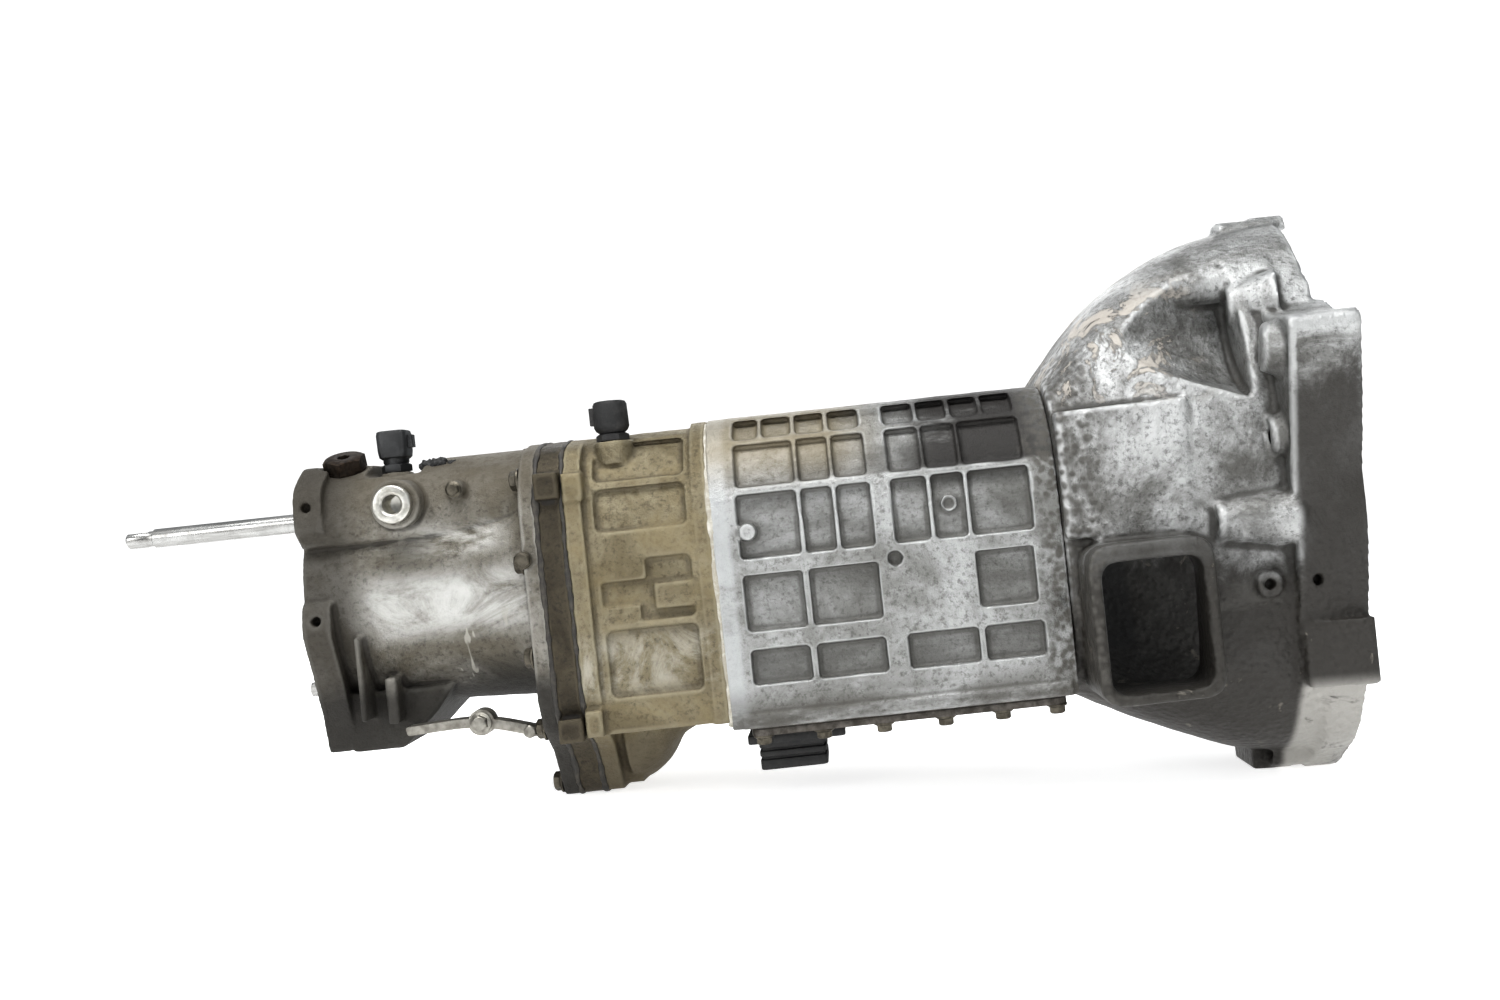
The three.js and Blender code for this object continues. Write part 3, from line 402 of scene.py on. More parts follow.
def finish_piece(obj, name, material, body="housing", stands_for=(), smooth_angle=180):
    """Names a piece, scales it to metres, paints it and lets it ride on its body."""
    obj.name = name
    obj.data.transform(Matrix.Scale(MM, 4))
    obj.data.materials.clear()
    obj.data.materials.append(material)
    obj.data.shade_smooth()
    if smooth_angle < 180:
        obj.data.set_sharp_from_angle(angle=math.radians(smooth_angle))
    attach(obj, body)
    if stands_for:
        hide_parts(*stands_for)
    return obj


# ---------------------------------------------------------------- materials
class Paint:
    """A material built up in layers of colour, each with its own dirt."""

    def __init__(self, name, colour, metallic, roughness):
        self.material = bpy.data.materials.new(name)
        self.material.use_nodes = True
        self.tree = self.material.node_tree
        self.surface = self.tree.nodes["Principled BSDF"]
        place = self.tree.nodes.new("ShaderNodeTexCoord")
        self.place = place.outputs["Object"]
        split = self.tree.nodes.new("ShaderNodeSeparateXYZ")
        self.tree.links.new(self.place, split.inputs[0])
        self.x, self.y, self.z = split.outputs
        self.colour = colour
        self.dirt = 0.0
        self.metallic = metallic
        self.roughness = roughness

    def feed(self, socket, value):
        """Links a socket, or sets a plain number or colour."""
        if isinstance(value, bpy.types.NodeSocket):
            self.tree.links.new(value, socket)
        elif isinstance(value, tuple):
            socket.default_value = (*value, 1.0)
        else:
            socket.default_value = value

    def math(self, operation, a, b=0.0):
        node = self.tree.nodes.new("ShaderNodeMath")
        node.operation = operation
        self.feed(node.inputs[0], a)
        self.feed(node.inputs[1], b)
        return node.outputs[0]

    def times(self, *values):
        result = values[0]
        for value in values[1:]:
            result = self.math("MULTIPLY", result, value)
        return result

    def noise(self, scale, detail=4, roughness=0.6, stretch=(1, 1, 1), distortion=0.0):
        mapping = self.tree.nodes.new("ShaderNodeMapping")
        mapping.inputs["Scale"].default_value = stretch
        self.feed(mapping.inputs["Vector"], self.place)
        node = self.tree.nodes.new("ShaderNodeTexNoise")
        self.feed(node.inputs["Vector"], mapping.outputs[0])
        node.inputs["Scale"].default_value = scale
        node.inputs["Detail"].default_value = detail
        node.inputs["Roughness"].default_value = roughness
        node.inputs["Distortion"].default_value = distortion
        return node.outputs["Fac"]

    def pebbles(self, scale):
        node = self.tree.nodes.new("ShaderNodeTexVoronoi")
        node.feature = "SMOOTH_F1"
        self.feed(node.inputs["Vector"], self.place)
        node.inputs["Scale"].default_value = scale
        return node.outputs["Distance"]

    def ramp(self, value, low, high, start=0.0, end=1.0):
        """A smooth step from start at low to end at high."""
        node = self.tree.nodes.new("ShaderNodeMapRange")
        node.interpolation_type = "SMOOTHSTEP"
        self.feed(node.inputs["Value"], value)
        node.inputs["From Min"].default_value = min(low, high)
        node.inputs["From Max"].default_value = max(low, high)
        rising = high > low
        node.inputs["To Min"].default_value = start if rising else end
        node.inputs["To Max"].default_value = end if rising else start
        return node.outputs["Result"]

    def between(self, value, low, high, soft):
        """One inside a band of heights or lengths in millimetres, fading out over soft."""
        rise = self.ramp(value, (low - soft) * MM, (low + soft) * MM)
        fall = self.ramp(value, (high + soft) * MM, (high - soft) * MM)
        return self.times(rise, fall)

    def relief(self):
        node = self.tree.nodes.new("ShaderNodeAttribute")
        node.attribute_name = "relief"
        return node.outputs["Fac"]

    def layer(self, share, colour, dirt=None):
        """Lays a colour over what is there, and its dirt, from 0 for bare metal to 1 for caked.

        share is one number or socket, or a tuple of them to multiply.
        """
        if isinstance(share, tuple):
            share = self.times(*share)
        node = self.tree.nodes.new("ShaderNodeMix")
        node.data_type = "RGBA"
        self.feed(node.inputs[0], share)
        self.feed(node.inputs[6], self.colour)
        self.feed(node.inputs[7], colour)
        self.colour = node.outputs[2]
        if dirt is not None:
            change = self.math("SUBTRACT", dirt, self.dirt)
            self.dirt = self.math("ADD", self.dirt, self.times(change, share))

    def bump(self, heights, distance):
        """heights is a list of (height, share); distance is in millimetres."""
        total = 0.0
        for height, share in heights:
            total = self.math("ADD", total, self.times(height, share))
        node = self.tree.nodes.new("ShaderNodeBump")
        node.inputs["Strength"].default_value = 1.0
        node.inputs["Distance"].default_value = distance * MM
        self.feed(node.inputs["Height"], total)
        self.feed(self.surface.inputs["Normal"], node.outputs[0])

    def done(self, unevenness):
        """Wires the layers to the shader. unevenness, a socket from 0 to 1, varies the gloss."""
        self.feed(self.surface.inputs["Base Color"], self.colour)
        rough = self.math("ADD", self.roughness - 0.1, self.times(unevenness, 0.22))
        if isinstance(self.dirt, bpy.types.NodeSocket):
            rough = self.math("ADD", rough, self.times(self.dirt, 0.28))
            clean = self.math("SUBTRACT", 1.0, self.dirt)
            self.feed(self.surface.inputs["Metallic"], self.times(clean, self.metallic))
        else:
            self.surface.inputs["Metallic"].default_value = self.metallic
        self.feed(self.surface.inputs["Roughness"], rough)
        return self.material


def casting(name, bright, dull, grime, roughness=0.5, coarse=0.6, corners=0.9):
    """The common start of every casting: mottled metal, worn edges with painted highlights, dirt and
    painted shade in the corners, sand grain. grime colours the dirt specks and the painted corner shade;
    corners sets how strong that shade is.
    """
    paint = Paint(name, dull, 0.85, roughness)
    patches = paint.noise(13, detail=9, roughness=0.72, distortion=0.5)
    speckle = paint.noise(260, detail=6, roughness=0.75)
    grain = paint.noise(900, detail=2)
    dents = paint.noise(75, detail=4)
    relief = paint.math("ADD", paint.relief(), paint.times(paint.math("SUBTRACT", speckle, 0.5), 0.22))
    paint.layer(paint.ramp(patches, 0.38, 0.66), bright, 0.0)
    paint.layer((paint.ramp(speckle, 0.48, 0.66), 0.6), grime, 0.45)
    # painted shade: corners and hollows are darkened with the grime colour, partly real grime
    paint.layer((paint.ramp(relief, 0.44, 0.28), corners), grime, 0.8)
    # worn edges and a painted highlight: edges and ribs are brightened
    paint.layer((paint.ramp(relief, 0.58, 0.76), 0.75), bright, 0.0)
    paint.bump([(grain, 0.35), (speckle, coarse), (dents, 1.1)], 1.3)
    return paint, speckle


def case_paint():
    paint, speckle = casting(
        "cast_case", (0.42, 0.425, 0.42), (0.20, 0.20, 0.19), (0.055, 0.052, 0.045), 0.38, corners=0.6,
    )
    smears = paint.noise(26, detail=7, roughness=0.7, stretch=(0.35, 1, 1))
    lumps = paint.pebbles(230)
    deep = paint.ramp(paint.math("ABSOLUTE", paint.y), 0.0872, 0.0862)
    on_side = paint.between(paint.z, -100, 76, 1)
    # painted shade: the recessed pocket floors on the sides are darkened, mottled by smears
    pocket_shade_share = paint.math("ADD", 0.25, paint.ramp(smears, 0.35, 0.62, 0.0, 0.55))
    paint.layer((deep, on_side, pocket_shade_share), (0.085, 0.083, 0.076), 0.3)
    upper_front = paint.times(paint.between(paint.x, -290, -195, 22), paint.between(paint.z, 36, 100, 12))
    paint.layer((upper_front, paint.ramp(smears, 0.28, 0.5), deep), (0.022, 0.02, 0.018), 0.8)
    # painted highlight: a bright band along the rear rim of the case
    rear_rim_highlight = paint.between(paint.x, CASE_REAR, CASE_REAR + 12, 3)
    paint.layer((rear_rim_highlight, paint.ramp(smears, 0.25, 0.5), 0.8), (0.42, 0.43, 0.43), 0.0)
    brown_top = paint.times(paint.ramp(paint.z, 0.035, 0.075), paint.ramp(paint.x, -0.30, -0.35))
    paint.layer((brown_top, 0.6), (0.23, 0.19, 0.115), 0.4)
    low = paint.ramp(paint.z, -0.085, -0.115)
    paint.layer((low, paint.ramp(smears, 0.38, 0.6), 0.85), (0.05, 0.045, 0.036), 0.7)
    front_edge = paint.ramp(paint.math("ADD", paint.x, paint.times(smears, 0.03)), -0.200, -0.186)
    crust = paint.times(front_edge, paint.ramp(lumps, 0.6, 0.25))
    paint.layer((crust, 0.9), (0.075, 0.07, 0.06), 0.8)
    return paint.done(speckle)


def bell_paint():
    paint, speckle = casting(
        "cast_bell", (0.50, 0.505, 0.50), (0.13, 0.128, 0.12), (0.024, 0.022, 0.018), 0.38, 0.8,
    )
    lumps = paint.pebbles(210)
    smears = paint.noise(19, detail=9, roughness=0.74, distortion=1.0)
    cakes = paint.noise(34, detail=8, roughness=0.75, distortion=0.7)
    lower = paint.math("ADD", paint.z, paint.times(smears, 0.13))
    low = paint.ramp(lower, 0.06, 0.005)
    paint.layer((low, 0.97), (0.020, 0.017, 0.013), 0.6)
    broad = paint.noise(7, detail=8, roughness=0.7, distortion=0.8)
    paint.layer((paint.ramp(broad, 0.52, 0.6), 0.6), (0.075, 0.072, 0.065), 0.3)
    on_rim = paint.times(paint.between(paint.x, -190, -98, 3), paint.between(paint.z, -127, -14, 3))
    paint.layer((on_rim, paint.ramp(paint.y, -0.111, -0.119), 0.85), (0.026, 0.023, 0.018), 0.6)
    wedge = paint.times(paint.ramp(paint.x, -0.047, -0.040), paint.ramp(lower, 0.165, 0.13))
    paint.layer((wedge, 0.92), (0.022, 0.019, 0.015), 0.75)
    seam = paint.ramp(paint.math("ADD", paint.x, paint.times(smears, 0.03)), -0.135, -0.165)
    paint.layer((seam, paint.ramp(lumps, 0.6, 0.2), 0.85), (0.06, 0.056, 0.048), 0.75)
    arc = paint.between(paint.z, 78, 150, 16)
    crust = paint.times(arc, paint.ramp(cakes, 0.53, 0.56), paint.ramp(paint.x, -0.075, -0.1))
    paint.layer((crust, 0.85), (0.42, 0.385, 0.34), 0.9)
    flakes = paint.times(low, paint.ramp(cakes, 0.62, 0.64), 0.7)
    paint.layer(flakes, (0.16, 0.145, 0.12), 0.7)
    # painted light: a lighter panel low on the front corner stands in for a chamfer face catching the light
    chamfer_light = paint.times(paint.ramp(paint.z, -0.118, -0.132), paint.ramp(paint.x, -0.047, -0.040))
    paint.layer((chamfer_light, paint.ramp(smears, 0.3, 0.42), 0.9), (0.36, 0.35, 0.325), 0.3)
    # painted shade: near black inside the release-fork window
    window_shade = paint.times(paint.between(paint.x, -176, -112, 5), paint.between(paint.z, -114, -32, 5))
    paint.layer((window_shade, 0.85), (0.010, 0.009, 0.008), 0.9)
    grit = paint.times(paint.math("MAXIMUM", low, seam), lumps)
    heights = [(speckle, 0.7), (grit, -1.5), (crust, 0.9), (paint.noise(70, detail=6), 1.3)]
    paint.bump(heights, 1.5)
    paint.surface.inputs["Coat Weight"].default_value = 0.2
    paint.surface.inputs["Coat Roughness"].default_value = 0.35
    return paint.done(speckle)


def middle_paint():
    paint, speckle = casting(
        "cast_middle", (0.25, 0.222, 0.155), (0.145, 0.122, 0.076), (0.055, 0.043, 0.026), 0.55,
        corners=0.45,
    )
    stains = paint.noise(22, detail=8, roughness=0.7, distortion=0.6)
    paint.layer((paint.ramp(stains, 0.48, 0.66), 0.6), (0.22, 0.18, 0.10), 0.5)
    low = paint.ramp(paint.z, -0.1, -0.13)
    paint.layer((low, 0.75), (0.085, 0.07, 0.045), 0.6)
    lit = paint.times(paint.between(paint.z, -84, -48, 9), paint.ramp(stains, 0.40, 0.58))
    paint.layer((lit, 0.75), (0.40, 0.385, 0.33), 0.1)
    return paint.done(speckle)


def plate_paint():
    paint, speckle = casting(
        "cast_plate", (0.085, 0.073, 0.052), (0.04, 0.034, 0.025), (0.012, 0.01, 0.008), 0.5,
    )
    return paint.done(speckle)


def tail_paint():
    paint, speckle = casting(
        "cast_tail", (0.27, 0.26, 0.235), (0.115, 0.104, 0.082), (0.024, 0.02, 0.015), 0.46, 0.7,
    )
    smears = paint.noise(18, detail=8, roughness=0.7, stretch=(0.6, 1, 1.4), distortion=0.8)
    bright_band = paint.times(paint.between(paint.z, -30, 6, 14), paint.between(paint.x, -672, -556, 18))
    paint.layer((bright_band, paint.ramp(smears, 0.33, 0.58)), (0.52, 0.52, 0.50), 0.0)
    upper_band = paint.times(paint.between(paint.z, 20, 40, 8), paint.between(paint.x, -635, -572, 16))
    paint.layer((upper_band, paint.ramp(smears, 0.4, 0.6)), (0.40, 0.395, 0.37), 0.1)
    top = paint.ramp(paint.z, 0.04, 0.065)
    paint.layer((top, 0.7), (0.085, 0.072, 0.05), 0.6)
    rear = paint.ramp(paint.x, -0.66, -0.69)
    paint.layer((rear, 0.75), (0.028, 0.024, 0.018), 0.7)
    low = paint.ramp(paint.math("ADD", paint.z, paint.times(smears, 0.05)), -0.022, -0.055)
    paint.layer((low, 0.92), (0.014, 0.012, 0.009), 0.8)
    drips = paint.noise(60, detail=2, stretch=(1, 1, 0.10), distortion=0.5)
    wet = paint.times(paint.ramp(drips, 0.64, 0.67), paint.between(paint.z, -66, -22, 10))
    paint.layer((wet, paint.ramp(paint.x, -0.66, -0.63), 0.8), (0.36, 0.35, 0.31), 0.5)
    return paint.done(speckle)


def metal(name, light, dark, roughness, streaks=(1, 1, 1), scale=160, grime=0.25, bump=0.08):
    """Machined or plated metal: fine streaks, tarnish and specks of dirt."""
    paint = Paint(name, dark, 1.0, roughness)
    lines = paint.noise(scale, detail=4, stretch=streaks)
    tarnish = paint.noise(45, detail=6, distortion=0.5)
    paint.layer(paint.ramp(lines, 0.3, 0.65), light)
    paint.layer((paint.ramp(tarnish, 0.48, 0.7), grime), (0.05, 0.042, 0.032), 0.6)
    paint.bump([(lines, 1.0)], bump)
    return paint.done(tarnish)


def dull(name, light, dark, roughness, scale=120, bump=0.3):
    """Rubber, plastic, sealant or caked dirt."""
    paint = Paint(name, dark, 0.0, roughness)
    patches = paint.noise(scale, detail=6, roughness=0.65)
    grain = paint.noise(scale * 6, detail=3)
    paint.layer(paint.ramp(patches, 0.4, 0.7), light)
    paint.bump([(patches, 1.0), (grain, 0.4)], bump)
    return paint.done(grain)


PAINT = {
    "bell": bell_paint(),
    "case": case_paint(),
    "middle": middle_paint(),
    "plate": plate_paint(),
    "tail": tail_paint(),
    "cast_iron": metal("cast_iron", (0.12, 0.115, 0.105), (0.05, 0.047, 0.042), 0.55, grime=0.6, bump=0.5),
    "retainer": metal(
        "machined_casting", (0.48, 0.48, 0.46), (0.30, 0.30, 0.285),
        0.4, (0.2, 1, 1), bump=0.15,
    ),
    "pressed": metal(
        "oily_pressed_steel", (0.12, 0.11, 0.10), (0.05, 0.046, 0.04),
        0.45, grime=0.7, bump=0.4,
    ),
    "polished": metal(
        "polished_steel", (0.42, 0.42, 0.41), (0.24, 0.235, 0.225),
        0.25, (0.3, 4, 4), 60, 0.25, 0.03,
    ),
    "bolt": metal("dull_bolt_steel", (0.13, 0.118, 0.095), (0.055, 0.05, 0.04), 0.48, grime=0.6, bump=0.2),
    "zinc": metal("zinc_plate", (0.60, 0.59, 0.55), (0.38, 0.37, 0.33), 0.33, grime=0.5),
    "bracket": metal("dull_plated_strip", (0.30, 0.29, 0.26), (0.17, 0.16, 0.14), 0.5, grime=0.6, bump=0.3),
    "rusty": metal(
        "rusty_plug", (0.055, 0.042, 0.032), (0.022, 0.018, 0.016),
        0.65, scale=300, grime=0.8, bump=0.6,
    ),
    "gear": metal("gear_steel", (0.50, 0.50, 0.50), (0.34, 0.33, 0.32), 0.3, (8, 1, 1), 80, 0.25),
    "race": metal("bearing_steel", (0.62, 0.62, 0.63), (0.48, 0.48, 0.48), 0.2, (6, 1, 1), 80, 0.1),
    "brass": metal("synchro_brass", (0.72, 0.55, 0.27), (0.52, 0.37, 0.16), 0.32, (6, 1, 1), 80, 0.2),
    "rubber": dull("black_rubber", (0.022, 0.021, 0.02), (0.009, 0.009, 0.009), 0.65),
    "plastic": dull("black_plastic", (0.028, 0.029, 0.03), (0.012, 0.0125, 0.013), 0.45, 90, 0.12),
    "dark_sealant": dull("dark_sealant", (0.055, 0.048, 0.038), (0.02, 0.018, 0.015), 0.6, 150, 0.5),
    "grey_sealant": dull("grey_sealant", (0.50, 0.48, 0.43), (0.30, 0.28, 0.23), 0.45, 150, 0.4),
    "gasket": dull("gasket_paper", (0.09, 0.08, 0.065), (0.04, 0.035, 0.03), 0.8),
}


# ---------------------------------------------------------------- clutch housing
WINDOW_X = (-177, -111)
WINDOW_Z = (-116, -30)
WINDOW_FACE = -134
FLANGE_BOSSES = [
    (-15, 184, -50, 15), (-62, 148, -96, 12), (-72, 134, -58, 14), (-120, 100, -52, 15),
    (-112, 40, -52, 12), (-106, -12, -94, 14), (-78, -118, -52, 14), (-18, -182, -50, 14),
    (56, -178, -50, 15), (128, -100, -50, 15), (142, 20, -50, 15), (122, 110, -50, 15), (60, 164, -50, 15),
]
TAPPED_HOLES = [(-64, -56), (-33, -56)]
# the near side of the flange is a deep block with a machined rear edge
FLANGE_BLOCK = [
    (-62, 124, 0), (-66, 137, 4), (-108, 119, 8), (-152, 115, 10), (-138, 57, 14), (-123, 6, 14),
    (-126, -20, 14), (-112, -73, 12), (-91, -134, 10), (-60, -160, 6), (-50, -120, 0),
]


def bell_stations(wall):
    sections = [
        (-10, 196, 190, 110, 146, 2.3), (-39, 193, 186, 111, 144, 2.4), (-75, 186, 179, 110, 140, 2.6),
        (-110, 172, 165, 109, 130, 2.8), (-148, 147, 148, 102, 112, 3.1), (-180, 112, 131, 92, 94, 3.7),
        (BELL_REAR, 96, 124, 90, 90, 4.5),
    ]
    return [
        (x, top - wall, bottom - wall, near - wall, far - wall, power, 0)
        for x, top, bottom, near, far, power in sections
    ]


def clutch_housing():
    pad_outline = [(-191, -60, 0), (-191, -97, 2), (-150, -107, 34), (-104, -111, 8), (-98, -60, 0)]
    side_pad = prism_z(rounded(pad_outline, 16), (-14, 72))
    rim = rectangle((WINDOW_X[0] - 8, WINDOW_X[1] + 8), (WINDOW_Z[0] - 7, WINDOW_Z[1] + 12), 16)
    bosses = [rod([rear, -8], radius, y, z) for y, z, rear, radius in FLANGE_BOSSES]
    # the bolt tunnels of the upper near side run forward into the flange
    tunnels = [
        pin((-98, -62, 148), (-30, -66, 152), 11.5), pin((-62, -74, 132), (-30, -82, 132), 13, 22),
        pin((-56, -118, 98), (-34, -122, 96), 14.5, 24), pin((-94, -106, -12), (-40, -108, -14), 13, 20),
        pin((-54, -111, 42), (-34, -114, 42), 11, 18),
    ]
    edge_block = prism_z(rounded([(-44, -80, 0), (-44, -110, 3), (0, -119, 1), (0, -80, 0)]), (-128, -84))
    rings = [pin((x, -113 + x * 0.02, z), (x, -96, z), 9) for x, z in TAPPED_HOLES]
    outer = join([
        cut(loft(bell_stations(0)), [rod([-150, -60], 30, -118, 128, 62)]),
        prism_x(rounded(ENGINE_FLANGE), (-24, 0)), prism_x(rounded(FLANGE_BLOCK), (-46, -1)),
        *bosses, side_pad, prism_y(rim, (WINDOW_FACE, -60)),
        block((-60, -30), (-12, 40), (-199, -160)), *tunnels, edge_block, *rings,
    ])
    ahead_of_rear_wall = block((BELL_REAR + 12, 10), (-200, 200), (-220, 220))
    hollow = combine(loft(bell_stations(BELL_SKIN)), [ahead_of_rear_wall], "INTERSECT")
    hollow = cut(hollow, [rod([-156, -50], 36, -118, 128, 68)])
    front = bell_stations(BELL_SKIN)[0]
    mouth = loft([(x, *front[1:]) for x in (2, front[0] - 0.1)], steps=1)
    window = prism_y(rectangle(WINDOW_X, WINDOW_Z, 11), (WINDOW_FACE - 2, -50))
    bores = [rod([rear - 2, 2], 6.2, y, z) for y, z, rear, _ in FLANGE_BOSSES]
    seats = [rod([rear - 2, rear + 1.5], 9, y, z) for y, z, rear, _ in FLANGE_BOSSES]
    tapped = [pin((x, -140, z), (x, -105, z), 3.6) for x, z in TAPPED_HOLES]
    rear_wall = [BELL_REAR - 2, BELL_REAR + 14]
    openings = [rod(rear_wall, 50), rod(rear_wall, 30, 0, COUNTER_Z)]
    shell = cut(outer, [hollow, mouth, window, *bores, *seats, *tapped, *openings])
    return cast(shell, 2.1, 170000, seed=3)


# ---------------------------------------------------------------- main case
POCKET_ROWS = [
    ((77, 91), [(-408, -391), (-388, -368), (-365, -345), (-342, -321),
                (-304, -283), (-280, -260), (-257, -238), (-235, -214)]),
    ((44, 73), [(-408, -368), (-365, -344), (-341, -319), (-304, -282), (-279, -257), (-254, -213)]),
    ((-4, 39), [(-409, -368), (-365, -344), (-341, -318), (-304, -280), (-277, -255), (-252, -211)]),
    ((-53, -15), [(-409, -369), (-365, -318), (-252, -213)]),
    ((-89, -66), [(-409, -369), (-365, -318), (-303, -255), (-251, -211)]),
]


def pocket_cutters():
    """Every pocket on the near side and on the far side, and the row along the top."""
    cutters = []
    for z, cells in POCKET_ROWS:
        for x in cells:
            for y in ((-100, -32), (32, 100)):
                cutters.append(prism_y(rectangle(x, z, 2.5), y))
    for x in POCKET_ROWS[0][1]:
        for y in ((-27, -2), (2, 27)):
            cutters.append(prism_z(rectangle(x, y, 2.5), (60, 110)))
    return side_by_side(cutters)


def rail_bores(x):
    return [rod(x, 5.9, y, RAIL_Z) for y in (-22, 0, 22)]


def main_case():
    floor = prism_x(case_outline(RIB_HEIGHT), (CASE_REAR - 2, CASE_FRONT + 2))
    pockets = cut(pocket_cutters(), [floor])
    ribbed = cut(prism_x(case_outline(0), (CASE_REAR, CASE_FRONT)), [pockets])
    outer = join([
        ribbed,
        block((-419, -196), (-92, 92), (CASE_BOTTOM, CASE_BOTTOM + 9)),
        pin((-403, -93, 14), (-403, -84, 14), 5.5, 6.5),
        pin((-290, 80, -34), (-290, 96, -34), 17, 16),
        cut(pin((-266, -87.5, 19), (-266, -84, 19), 5.6), [pin((-266, -90, 19), (-266, -85.4, 19), 4.2)]),
    ])
    chamber_x = (CASE_REAR + 20, CASE_FRONT - 18)
    front = [CASE_FRONT - 20, CASE_FRONT + 2]
    rear = [CASE_REAR - 2, CASE_REAR + 22]
    hollow = cut(outer, [
        prism_x(case_outline(CASE_WALL, bottom=CASE_BOTTOM + 12), chamber_x),
        block((chamber_x[0] + 4, chamber_x[1] - 4), (-72, 72), (CASE_BOTTOM - 2, CASE_BOTTOM + 14)),
        pin((-306, -96, -14), (-306, -86, -14), 5), pin((-290, 76, -34), (-290, 98, -34), 11),
        rod(front, INPUT_BORE), rod(rear, MAIN_BORE),
        rod(front, COUNTER_BORE, 0, COUNTER_Z), rod(rear, COUNTER_BORE, 0, COUNTER_Z),
        *rail_bores(front), *rail_bores(rear), rod(rear, 8.4, 33.84, -48.82),
    ])
    return cast(hollow, 1.25, 190000, seed=7)


# ---------------------------------------------------------------- intermediate housing
def intermediate_housing():
    through = (MIDDLE_REAR - 2, MIDDLE_FRONT + 2)
    panels = []
    for z in ((58, 84), (24, 53), (-38, 4), (-88, -43)):
        for y in ((-100, -32), (32, 100)):
            panels.append(prism_y(rectangle((-505, -443), z, 5), y))
    for y in ((-27, -2), (2, 20)):
        panels.append(prism_z(rectangle((-481, -443) if y[0] < 0 else (-462, -443), y, 4), (60, 110)))
    floor = prism_x(case_outline(4, 88, 91, -140), through)
    body = cut(prism_x(case_outline(0, 88, 91, -112), (MIDDLE_REAR, MIDDLE_FRONT)),
               [cut(side_by_side(panels), [floor])])
    sump_half = [(0, -60, 0), (-60, -60, 4), (-56, -112, 8), (-38, -140, 10), (-30, -157, 6), (0, -157, 0)]
    sump_nose = [
        (-448, 10, 9, 40, 40, 2.8, -108), (-469, 10, 20, 48, 48, 2.8, -108),
        (-481, 10, 37, 54, 54, 2.6, -108), (-495, 10, 47, 57, 57, 2.4, -108),
        (-506, 10, 48, 57, 57, 2.4, -108),
    ]
    outer = join([
        body, block((-470, -441), (-87.4, -80.5), (-31, -14)),
        block((-508, -474), (-87.2, -80.6), (-10, 7)), block((-508, -480), (-86.8, -80.7), (-41, -27)),
        prism_x(mirrored(SANDWICH_HALF), (MIDDLE_REAR, MIDDLE_REAR + 13)),
        prism_x(case_outline(-1.5, 88, 93, -113), (MIDDLE_FRONT - 11, MIDDLE_FRONT)),
        prism_x(mirrored(sump_half), (MIDDLE_REAR, -499)), loft(sump_nose),
        pin((*LAMP_SWITCH, 70), (*LAMP_SWITCH, 86), 13),
        block((-524, -510), (-92, -78), (48, 66)), block((-524, -512), (-95, -80), (-112, -94)),
    ])
    well = [(0, -80, 0), (-46, -80, 4), (-43, -106, 8), (-26, -119, 8), (0, -119, 0)]
    sump = [(0, -90, 0), (-40, -90, 4), (-38, -112, 8), (-28, -134, 8), (-22, -148, 4), (0, -148, 0)]
    hollow = cut(outer, [
        prism_x(case_outline(CASE_WALL, 88, 91, -104), through),
        prism_x(mirrored(well), (MIDDLE_REAR - 2, -485)), prism_x(mirrored(sump), (MIDDLE_REAR - 2, -507)),
        pin((*LAMP_SWITCH, 60), (*LAMP_SWITCH, 88), 7.4), pin((*LAMP_SWITCH, 86), (*LAMP_SWITCH, 110), 14),
    ])
    return cast(hollow, 1.4, 90000, seed=11)


def bearing_plate():
    through = [PLATE_REAR - 1, PLATE_FRONT + 1]
    thickness = (PLATE_REAR, PLATE_FRONT)
    plate = join([
        prism_x(mirrored(SANDWICH_HALF), thickness), block(thickness, (-95, -80), (50, 68)),
        block(thickness, (-96, -80), (-114, -98)),
    ])
    shaft_bores = [rod(through, MAIN_BORE), rod(through, COUNTER_BORE, 0, COUNTER_Z)]
    bored = cut(plate, [*shaft_bores, *rail_bores(through)])
    return cast(bored, 1.4, 60000, seed=13, smoothing=1)


